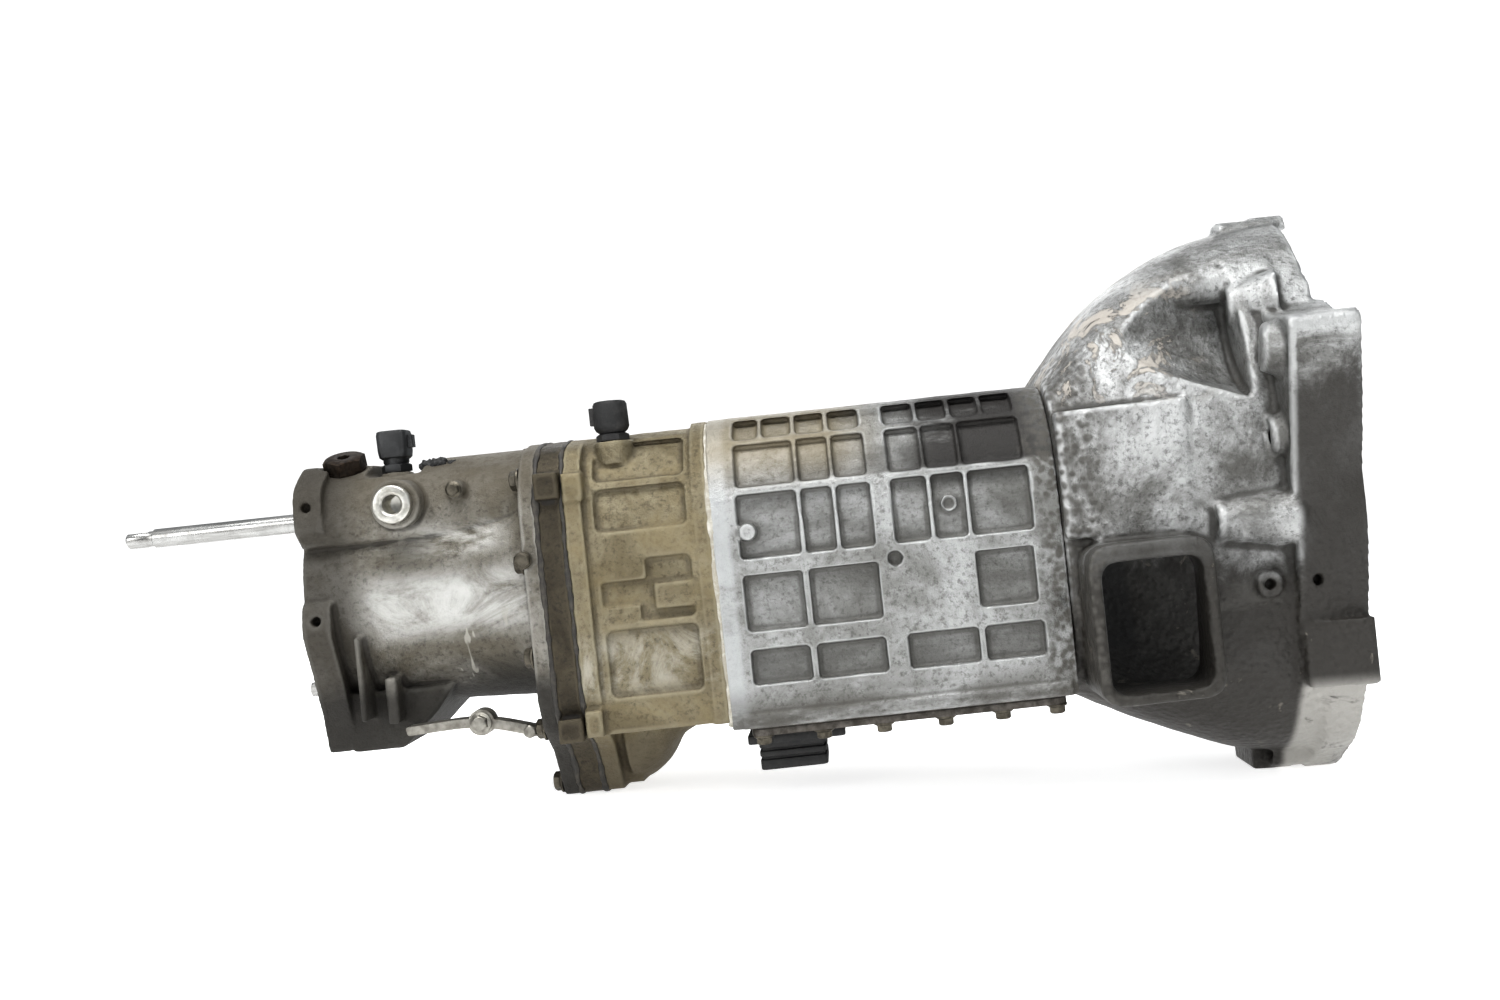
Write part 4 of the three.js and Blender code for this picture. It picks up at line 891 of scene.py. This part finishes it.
# ---------------------------------------------------------------- extension housing
def extension_housing():
    barrel = [
        (TAIL_FRONT, 84, 92, 86, 86, 2.5, 0), (-575, 70, 88, 79, 79, 2.3, 0),
        (TAIL_REAR, 60, 82, 67, 67, 2.2, 0),
    ]
    chamber = [
        (TAIL_FRONT + 1, 76, 84, 78, 78, 2.5, 0), (-575, 62, 80, 71, 71, 2.3, 0),
        (-692, 53, 75, 60, 60, 2.2, 0),
    ]
    tunnel = [(0, 89, 0), (-34, 89, 12), (-62, 74, 14), (-70, 50, 6), (-68, 34, 5), (0, 30, 0)]
    tunnel_room = [(0, 82, 0), (-30, 82, 10), (-52, 68, 12), (-58, 44, 5), (0, 30, 0)]
    deck_room = [(0, 71, 0), (-42, 71, 8), (-54, 60, 5), (-58, 44, 5), (0, 30, 0)]
    switch_deck = block((-668, -628), (-80, 80), (79, 100))
    foot = [
        (-712, -70, 0), (-712, -99, 2), (-697, -101, 2), (-695, -111, 2), (-660, -111, 3), (-634, -88, 6),
        (-620, -70, 0),
    ]
    outer = join([
        prism_x(mirrored(SANDWICH_HALF), (TAIL_FRONT - 12, TAIL_FRONT)), loft(barrel),
        prism_x(mirrored(tunnel), (TAIL_REAR + 2, TAIL_FRONT)),
        prism_x(mirrored(TAIL_HALF), (TAIL_REAR, TAIL_REAR + 20)),
        prism_y(rounded(foot), (-52, 52)), block((-680, -676), (-74, -40), (-88, -30)),
        block((-664, -656), (-68, -40), (-92, -60)), pin((-640, -50, 58), (-640, -80, 58), 17),
        pin((-600, -55, 64), (-600, -76, 64), 6), pin((-686, -26, 70), (-686, -34, 90), 15),
    ])
    outer = join([cut(outer, [switch_deck]), pin((*NEUTRAL_SWITCH, 70), (*NEUTRAL_SWITCH, 82), 11)])
    hollow = cut(outer, [
        loft(chamber), prism_x(mirrored(tunnel_room), (-621, TAIL_FRONT + 1)),
        prism_x(mirrored(deck_room), (-668, -620)),
        rod([TAIL_REAR - 2, -680], 34), rod([TAIL_REAR - 2, -660], 7.5, 0, ROD_Z),
        rod([TAIL_REAR - 2, -694], 5.3, -38, -65), pin((-640, -90, 58), (-640, -40, 58), 9.3),
        pin((*NEUTRAL_SWITCH, 60), (*NEUTRAL_SWITCH, 86), 6.3),
        pin((-686, -22, 60), (-686, -35, 92.5), 9.3),
        pin((-686, -32.68, 86.7), (-686, -50, 130), 17), pin((-704, -80, 62), (-704, -64, 62), 3.5),
        pin((-703, -84, -16), (-703, -68, -16), 3.5),
    ])
    return cast(hollow, 1.45, 150000, seed=17)


# ---------------------------------------------------------------- fasteners and sealant
def hexagon(flats, height, start, direction):
    """A hexagon head with its corners turned off at the top."""
    corner = flats / math.sqrt(3)
    head = turned([(0, corner), (height, corner)], start, direction, sides=6)
    profile = [(-1, corner + 1), (height - 1.4, corner + 0.1), (height, flats / 2 - 0.6)]
    cone = turned(profile, start, direction)
    return combine(head, [cone], "INTERSECT")


def bolt(name, seat, direction, flats=12, washer=8.2, head=5.5, material="bolt", slot="dark_steel"):
    """A flanged hexagon bolt whose head stands on seat and points along direction."""
    along = Vector(direction).normalized()
    flange = turned([(0, washer), (1.2, washer), (2.4, flats / 2)], seat, along)
    top = hexagon(flats, head, Vector(seat) + along * 1.0, along)
    obj = join([flange, top])
    return finish_piece(bevel(obj, 0.25), name, PAINT[material], smooth_angle=30)


def evenly(points, step):
    """A closed outline walked at equal steps, as (point, outward direction) pairs."""
    closed = [*points, points[0]]
    lengths = [0.0]
    for a, b in zip(closed, closed[1:]):
        lengths.append(lengths[-1] + (b - a).length)
    count = int(lengths[-1] / step)
    centre = sum(points, Vector((0, 0))) / len(points)
    walked = []
    k = 0
    for i in range(count):
        wanted = lengths[-1] * i / count
        while lengths[k + 1] < wanted:
            k += 1
        edge = closed[k + 1] - closed[k]
        share = (wanted - lengths[k]) / max(edge.length, 1e-6)
        point = closed[k] + edge * share
        outward = Vector((edge.y, -edge.x)).normalized()
        if outward.dot(point - centre) < 0:
            outward = -outward
        walked.append((point, outward))
    return walked


def sealant_bead(name, outline, x, radius, material, seed):
    """Sealant squeezed out of a seam: a bead of uneven thickness all round the joint."""
    sides = 8
    path = evenly(outline, 2.2)
    vertices = []
    for i, (point, outward) in enumerate(path):
        swell = noise.noise(Vector((i * 0.11, seed, 0))) + 0.6 * noise.noise(Vector((i * 0.43, seed, 5)))
        wander = 0.7 * noise.noise(Vector((i * 0.2, seed, 9)))
        thickness = radius * max(0.45, 1 + 0.9 * swell)
        for k in range(sides):
            angle = 2 * math.pi * k / sides
            y, z = point + outward * (thickness * 0.55 * math.cos(angle) + 0.1)
            vertices.append((x + wander + thickness * math.sin(angle), y, z))
    bead = solid(vertices, ring_faces(len(path), sides))
    return finish_piece(bead, name, PAINT[material])


def seam_bolts():
    """The long bolts that clamp the extension, the plate and the intermediate housing together."""
    inset = 8.5
    path = evenly(mirrored(SANDWICH_HALF), 2)
    places = [path[round(len(path) * share)] for share in
              (0.035, 0.115, 0.2, 0.285, 0.37, 0.445, 0.545, 0.62, 0.705, 0.79, 0.875, 0.955)]
    seat = TAIL_FRONT - 12.3
    for i, (point, outward) in enumerate(places):
        y, z = point - outward * inset
        bolt(f"extension_bolt_{i + 1}", (seat, y, z), BACKWARD)


def cover_bolts():
    """The small bolts round the under cover."""
    places = [(x, y) for y in (-79, 79) for x in (-407, -366, -325, -283, -244, -207)]
    places += [(x, y) for x in (-409, -206) for y in (-36, 36)]
    for i, (x, y) in enumerate(places):
        bolt(f"cover_bolt_{i + 1}", (x, y, COVER_LOW + 3), DOWN, flats=10, washer=7)


def loose_bolts():
    """Single bolts on the extension and its bracket, and the four round the bearing retainer."""
    bolt("side_bolt_upper", (-554, -93.5, 11), NEAR, flats=10, washer=6)
    bolt("boss_bolt", (-600, -76, 64), NEAR, flats=8, washer=5.5, head=4)
    plated = {"material": "bracket", "slot": "zinc"}
    bolt("bracket_bolt_left", (-600, -70, -97), NEAR, flats=10, washer=7.5, **plated)
    bolt("bracket_bolt_right", (-566, -70, -106), NEAR, flats=8, washer=4.5, **plated)
    for side, y, z in (("near", -36, 0), ("far", 36, 0), ("low", 0, -38), ("high", 0, 38)):
        bolt(f"retainer_bolt_{side}", (CASE_FRONT + 9, y, z), FORWARD, flats=10, washer=7)


# ---------------------------------------------------------------- small parts
def under_cover():
    top = COVER_LOW + 7.5
    plate = prism_z(rectangle((-415, -200), (-86, 86), 10), (top - 4.5, top))
    dish = prism_z(rectangle((-398, -217), (-66, 66), 12), (top - 7.5, top - 2))
    hollow = prism_z(rectangle((-394, -221), (-62, 62), 10), (top - 4.5, top + 1))
    obj = cut(join([plate, dish]), [hollow, pin((-300, 20, -140), (-300, 20, -110), 9.3)])
    return bevel(obj, 0.9, 3)


def support_block():
    top = span("support_block")[1].z
    body = prism_z(rectangle((-413, -366), (-58, -12), 5), (top - 25, top - 1))
    foot = prism_z(rectangle((-420, -352), (-62, -8), 4), (top - 6, top))
    grooves = [
        cut(block((-420, -352), (-70, 0), (z, z + 2)), [block((-411, -368), (-56, -14), (z - 1, z + 3))])
        for z in (top - 12, top - 18)
    ]
    return bevel(cut(join([body, foot]), grooves), 0.8)


def lower_bracket():
    strip = rounded([(-652, -95, 2), (-600, -92.5, 20), (-558, -105, 3), (-561, -111, 3), (-601, -99, 20),
                     (-651, -101, 2)])
    rest = pin((-600, -69, -97), (-600, -57, -97), 9)
    return bevel(join([prism_y(strip, (-69.5, -56.5)), rest]), 0.6)


def retainer():
    front = CASE_FRONT + 0.3
    profile = [(0, 48), (7.5, 48), (8.7, 46.5), (8.7, 31), (10, 30), (21, 28), (22, 26), (23, 22.5),
               (73.5, 22), (74.3, 21)]
    flutes = []
    for k in range(4):
        angle = math.pi / 4 + k * math.pi / 2
        flutes.append(rod([front + 3, front + 12], 7, 52 * math.cos(angle), 52 * math.sin(angle), sides=40))
    body = turned(profile, (front, 0, 0), FORWARD, 64)
    return cut(body, [*flutes, rod([front - 2, -148], 18), rod([-149, -110], 16)])


def input_shaft():
    phase = math.pi / 2 + math.pi + math.pi / 16
    profile = [
        (0, 17.7), (28, 17.7), (28.5, 13.5), (129, 13.5), (130, 11), (186, 11), (197, 7.6), (216.5, 7.5),
        (218, 6),
    ]
    return cut(join([
        turned(profile, (-218, 0, 0), FORWARD),
        toothed((-86, -30), 10, 10.5, 13.2, 0.3, 0.17),
        toothed((-238, -216), 16, 22.4, 29, 0.27, 0.11, phase),
        rod([-243, -238.6], 28), rod([-240, -216], 19.9),
    ]), [rod([-250, -224], 12)])


def mainshaft():
    return join([
        turned([(0, 9), (22, 9)], (-248, 0, 0)), rod([-512, -246], 17), rod([-524, -511], 21),
        rod([-546, -523], 17), rod([-676, -545], 20),
        turned([(0, 12.5), (1.5, 13.6), (31, 13.6)], (-706, 0, 0)),
        toothed((-704.6, -675), 26, 13.2, 15.4, 0.3, 0.16),
    ])


def output_seal():
    """A lipped rubber section swept round the output shaft."""
    section = [
        (0, 33.7), (9.4, 33.7), (9.4, 31), (2, 30), (2, 20), (5, 18), (8.5, 16.2), (9, 16.2), (0.8, 16.2),
        (0, 17.5),
    ]
    sides = 64
    rear = TAIL_REAR + 1.1
    vertices = []
    for i in range(sides):
        angle = 2 * math.pi * i / sides
        for along, radius in section:
            vertices.append((rear + along, radius * math.cos(angle), radius * math.sin(angle)))
    return solid(vertices, ring_faces(sides, len(section)))


def control_rod():
    length = ROD_FRONT - ROD_TIP
    tip = [(0, 4.6), (1.6, 6.1), (14.5, 6.1), (15.5, 5.7), (19.5, 5.7), (20.5, 7)]
    shaft = [*tip, (length - 1, 7), (length, 6.2)]
    flat = block((ROD_TIP - 1, ROD_TIP + 16), (-10, 10), (ROD_Z + 5, ROD_Z + 10))
    return cut(turned(shaft, (ROD_TIP, 0, ROD_Z), FORWARD, 56), [flat])


def port_bush():
    profile = [(0, 9), (20.8, 9), (21, 12.4), (22, 13), (27, 13), (28, 12)]
    bush = turned(profile, (-640, -60, 58), NEAR, 56)
    mouth = turned([(0, 6.4), (18.5, 6.4), (20.5, 8.6)], (-640, -68, 58), NEAR, 56)
    return bevel(cut(bush, [mouth]), 0.25)


def interlock_plug():
    start = Vector((-686, -25, 67.5))
    along = (Vector((-686, -36.8, 97)) - start).normalized()
    shank = turned([(0, 8), (1.5, 9), (21.5, 9)], start, along)
    head = hexagon(26, 9.8, Vector((-686, -32.9, 87.2)), along)
    washer = turned([(0, 14), (1.6, 14)], Vector((-686, -32.6, 86.6)), along)
    recess = turned([(0, 4.5), (5, 5)], Vector((-686, -35.4, 93.6)), along, sides=6)
    return bevel(cut(join([shank, head, washer]), [recess]), 0.3)


def neutral_switch():
    """A threaded switch with a smooth round-cornered connector and its latch."""
    x, y = NEUTRAL_SWITCH
    base = turned([(0, 6), (16, 6)], (x, y, 67.5), UP)
    collar = turned([(0, 8), (2, 9), (5.4, 9), (6.4, 7.4)], (x, y, 87.4), UP)
    sections = [(91.5, 8.4), (93, 10), (97, 10.6), (109, 10.8), (111.4, 10.2), (112, 9)]
    body = skin([[(x + a, y + b, z) for a, b in rectangle((-half, half), (-half, half), half * 0.5)]
                 for z, half in sections])
    tab = prism_z(rectangle((x + 8, x + 14), (y - 4, y + 4), 1.5), (99, 108))
    mouth = prism_z(rectangle((x - 6.5, x + 6.5), (y - 6.5, y + 6.5), 3), (104, 113))
    shell = cut(join([base, hexagon(19, 5.6, (x, y, 82.4), UP), collar, body, tab]), [mouth])
    return bevel(shell, 0.6)


def reverse_lamp_switch():
    """A threaded switch under a smooth rubber boot."""
    x, y = LAMP_SWITCH
    base = turned([(0, 7), (15, 7)], (x, y, 73), UP)
    nut = hexagon(20, 5, (x, y, 86.4), UP)
    boot = [(0, 8), (2.5, 11), (5, 12.2), (14, 12.0), (20.5, 11.8), (22.4, 10.8), (23, 9.2)]
    mouth = turned([(0, 6.6), (6, 7.2)], (x, y, 110), UP)
    sleeve = turned(boot, (x, y, 91), UP)
    tab = prism_z(rectangle((x - 14.5, x - 9), (y - 4, y + 4), 1.5), (98, 110))
    return bevel(cut(join([base, nut, sleeve, tab]), [mouth]), 0.5)


def breather():
    profile = [(0, 6), (5, 6), (5.6, 8), (9, 8), (10, 7), (13.6, 7), (15.4, 5), (16.4, 3.4)]
    return bevel(turned(profile, (-470, 88.4, 14), FAR), 0.3)


def drain_plug():
    shank = turned([(0, 9), (11, 9)], (-300, 20, -120.8), DOWN)
    washer = turned([(0, 13), (1.5, 13)], (-300, 20, COVER_LOW - 0.3), DOWN)
    return bevel(join([shank, washer, hexagon(22, 8, (-300, 20, COVER_LOW - 1), DOWN)]), 0.3)


def filler_plug():
    shank = turned([(0, 10.6), (12.6, 10.6)], (-290, 84, -34), FAR)
    washer = turned([(0, 14.5), (1.5, 14.5)], (-290, 96.3, -34), FAR)
    return bevel(join([shank, washer, hexagon(24, 6, (-290, 97, -34), FAR)]), 0.3)


def fork_pivot():
    profile = [(0, 6), (26, 6), (27, 7.4), (30, 7.4), (32.4, 6), (33.6, 3.6)]
    return turned(profile, (BELL_REAR + 12.4, 58, -20), FORWARD)


def clip_remains():
    """Broken stubs of a plastic cable clip on top of the extension."""
    lumps = []
    for i, (x, size) in enumerate(((-626, 6.5), (-618, 7), (-609, 4.5))):
        profile = [(0, size * 0.7), (size * 0.4, size), (size * 0.8, size * 0.8), (size * 1.1, size * 0.35)]
        lumps.append(turned(profile, (x, -38 - i, 81), (0.15 * i - 0.2, -0.3, 1), 24))
    obj = join(lumps)
    modifier = obj.modifiers.new("subdivide", "SUBSURF")
    modifier.levels = 2
    bake(obj)
    ripple(obj.data, 2.2, 4, 29)
    return obj


# ---------------------------------------------------------------- assembly
# CAD node: its finer casting, paint and material slot
CASTINGS = {
    "clutch_housing": (clutch_housing, "bell", "cast_bell"),
    "main_case": (main_case, "case", "cast_case"),
    "intermediate_housing": (intermediate_housing, "middle", "cast_middle"),
    "bearing_plate": (bearing_plate, "plate", "cast_plate"),
    "extension_housing": (extension_housing, "tail", "cast_tail"),
}


def castings():
    for node, (build, paint, slot) in CASTINGS.items():
        finish_piece(build(), f"{node}_casting", PAINT[paint], stands_for=[node])


# CAD node: its finer shape, paint, material slot and body
SMALL_PARTS = {
    "under_cover": (under_cover, "pressed", "cover", "housing"),
    "support_block": (support_block, "rubber", "support", "housing"),
    "lower_bracket": (lower_bracket, "bracket", "zinc", "housing"),
    "front_bearing_retainer": (retainer, "retainer", "retainer", "housing"),
    "output_oil_seal": (output_seal, "rubber", "seal", "housing"),
    "port_bush": (port_bush, "zinc", "zinc", "housing"),
    "interlock_plug": (interlock_plug, "rusty", "rusty_plug", "housing"),
    "neutral_switch": (neutral_switch, "plastic", "connector", "housing"),
    "reverse_lamp_switch": (reverse_lamp_switch, "rubber", "connector", "housing"),
    "breather": (breather, "zinc", "zinc", "housing"),
    "drain_plug": (drain_plug, "bolt", "dark_steel", "housing"),
    "filler_plug": (filler_plug, "bolt", "dark_steel", "housing"),
    "release_fork_pivot": (fork_pivot, "polished", "bright_steel", "housing"),
    "input_shaft": (input_shaft, "polished", "bright_steel", "input_shaft"),
    "mainshaft": (mainshaft, "polished", "bright_steel", "mainshaft"),
    "control_rod": (control_rod, "polished", "bright_steel", "control_rod"),
}


def small_parts():
    for node, (build, paint, slot, body) in SMALL_PARTS.items():
        finish_piece(build(), f"{node}_detail", PAINT[paint], body, [node], smooth_angle=32)
    finish_piece(clip_remains(), "cable_clip_remains", PAINT["rubber"])


def sealant():
    sandwich = mirrored(SANDWICH_HALF)
    sealant_bead("sealant_plate_front", sandwich, PLATE_FRONT + 0.1, 1.6, "dark_sealant", 1.3)
    sealant_bead("sealant_plate_rear", sandwich, PLATE_REAR - 0.1, 1.9, "dark_sealant", 4.1)
    seam = case_outline(-0.6, 88, 92, -114)
    sealant_bead("sealant_case_rear", seam, CASE_REAR - 0.1, 1.8, "grey_sealant", 7.7)


# every CAD node that is shown as it is: the paint of its material slot
SLOT_PAINT = {
    "gasket": "gasket", "seal": "rubber", "bright_steel": "polished", "gear_steel": "gear",
    "bearing_steel": "race", "brass": "brass", "fork": "cast_iron", "dark_steel": "bolt", "zinc": "zinc",
    "retainer": "retainer", "cover": "pressed", "support": "rubber", "connector": "plastic",
    "rusty_plug": "rusty", "cast_bell": "bell", "cast_case": "case", "cast_middle": "middle",
    "cast_plate": "plate", "cast_tail": "tail",
}


def paint_cad_nodes():
    for entry in frame["record"]["subparts"]:
        obj = frame["nodes"][entry["node"]]
        material = PAINT[SLOT_PAINT[entry["material_slot"]]]
        for place in obj.material_slots:
            place.material = material


# ---------------------------------------------------------------- floor, light and camera
TILT = math.radians(6.1)  # how far the shafts drop towards the engine in the view


def resting_line():
    """The floor's height along X: it touches the bell's foot and the sump."""
    bell = Vector((-6, span("clutch_housing")[0].z))
    sump = Vector(((MIDDLE_REAR + PLATE_REAR) / 2, span("bearing_plate")[0].z))
    slope = (sump.y - bell.y) / (sump.x - bell.x)
    return bell, slope


def floor():
    bell, slope = resting_line()
    mesh = bpy.data.meshes.new("floor")
    reach = 9000
    corners = []
    for x, y in ((-reach, -reach), (reach, -reach), (reach, reach), (-reach, reach)):
        corners.append(Vector((x, y, bell.y - 1 + slope * (x - bell.x))) * MM)
    mesh.from_pydata(corners, [], [(0, 1, 2, 3)])
    obj = bpy.data.objects.new("floor", mesh)
    bpy.context.scene.collection.objects.link(obj)
    material = bpy.data.materials.new("floor")
    material.use_nodes = True
    surface = material.node_tree.nodes["Principled BSDF"]
    surface.inputs["Base Color"].default_value = (0.86, 0.86, 0.86, 1)
    surface.inputs["Roughness"].default_value = 0.9
    surface.inputs["Specular IOR Level"].default_value = 0.1
    surface.inputs["Emission Color"].default_value = (1, 1, 1, 1)
    surface.inputs["Emission Strength"].default_value = 0.62
    mesh.materials.append(material)


# soft boxes: name, place, size in metres, power in watts
SOFT_BOXES = [
    ("top", (-0.5, -0.55, 1.4), (1.5, 0.5), 25),
    ("front_left", (-1.6, -1.5, 0.7), (0.5, 0.9), 9),
    ("front_right", (0.7, -1.7, 0.7), (0.4, 0.9), 5),
    ("behind", (-0.3, 1.6, 1.0), (2.2, 0.7), 10),
]
LIGHT_TARGET = Vector((-0.4, 0, 0))


def lamp(name, kind, rotation, energy):
    light = bpy.data.lights.new(name, kind)
    light.energy = energy
    obj = bpy.data.objects.new(name, light)
    obj.rotation_euler = rotation
    bpy.context.scene.collection.objects.link(obj)
    return obj


def soft_boxes():
    for name, place, size, power in SOFT_BOXES:
        aim = (LIGHT_TARGET - Vector(place)).to_track_quat("-Z", "Y").to_euler()
        obj = lamp(name, "AREA", aim, power)
        obj.location = place
        obj.data.shape = "RECTANGLE"
        obj.data.size, obj.data.size_y = size
    sky = lamp("wide_sky", "SUN", (math.radians(14), 0, 0), 0.45)
    sky.data.angle = math.radians(120)


def surround():
    """A dim surround for the metal to reflect, with white behind it."""
    world = bpy.data.worlds.new("studio")
    world.use_nodes = True
    tree = world.node_tree
    dim = tree.nodes["Background"]
    dim.inputs["Color"].default_value = (0.90, 0.95, 1.0, 1)
    dim.inputs["Strength"].default_value = 0.3
    white = tree.nodes.new("ShaderNodeBackground")
    white.inputs["Strength"].default_value = 1.0
    white.inputs["Color"].default_value = (0.97, 0.97, 0.97, 1)
    path = tree.nodes.new("ShaderNodeLightPath")
    choose = tree.nodes.new("ShaderNodeMixShader")
    tree.links.new(path.outputs["Is Camera Ray"], choose.inputs[0])
    tree.links.new(dim.outputs[0], choose.inputs[1])
    tree.links.new(white.outputs[0], choose.inputs[2])
    tree.links.new(choose.outputs[0], tree.nodes["World Output"].inputs[0])
    bpy.context.scene.world = world
    bpy.context.scene.view_settings.view_transform = "Standard"
    bpy.context.scene.view_settings.look = "Medium High Contrast"


CAMERA_PLACE = (-0.3388, -1.044, 0.0288)
CAMERA_LENS = 34.08
CAMERA_SHIFT = -0.06


def camera():
    right = Vector((math.cos(TILT), 0, -math.sin(TILT)))
    up = Vector((math.sin(TILT), 0, math.cos(TILT)))
    data = bpy.data.cameras.new("camera")
    data.lens = CAMERA_LENS
    data.sensor_width = 36
    data.shift_x = CAMERA_SHIFT
    obj = bpy.data.objects.new("camera", data)
    matrix = Matrix((right, up, right.cross(up))).transposed().to_4x4()
    matrix.translation = Vector(CAMERA_PLACE)
    obj.matrix_world = matrix
    bpy.context.scene.collection.objects.link(obj)
    bpy.context.scene.camera = obj


camera()
floor()
surround()
soft_boxes()
castings()
small_parts()
sealant()
seam_bolts()
cover_bolts()
loose_bolts()
paint_cad_nodes()
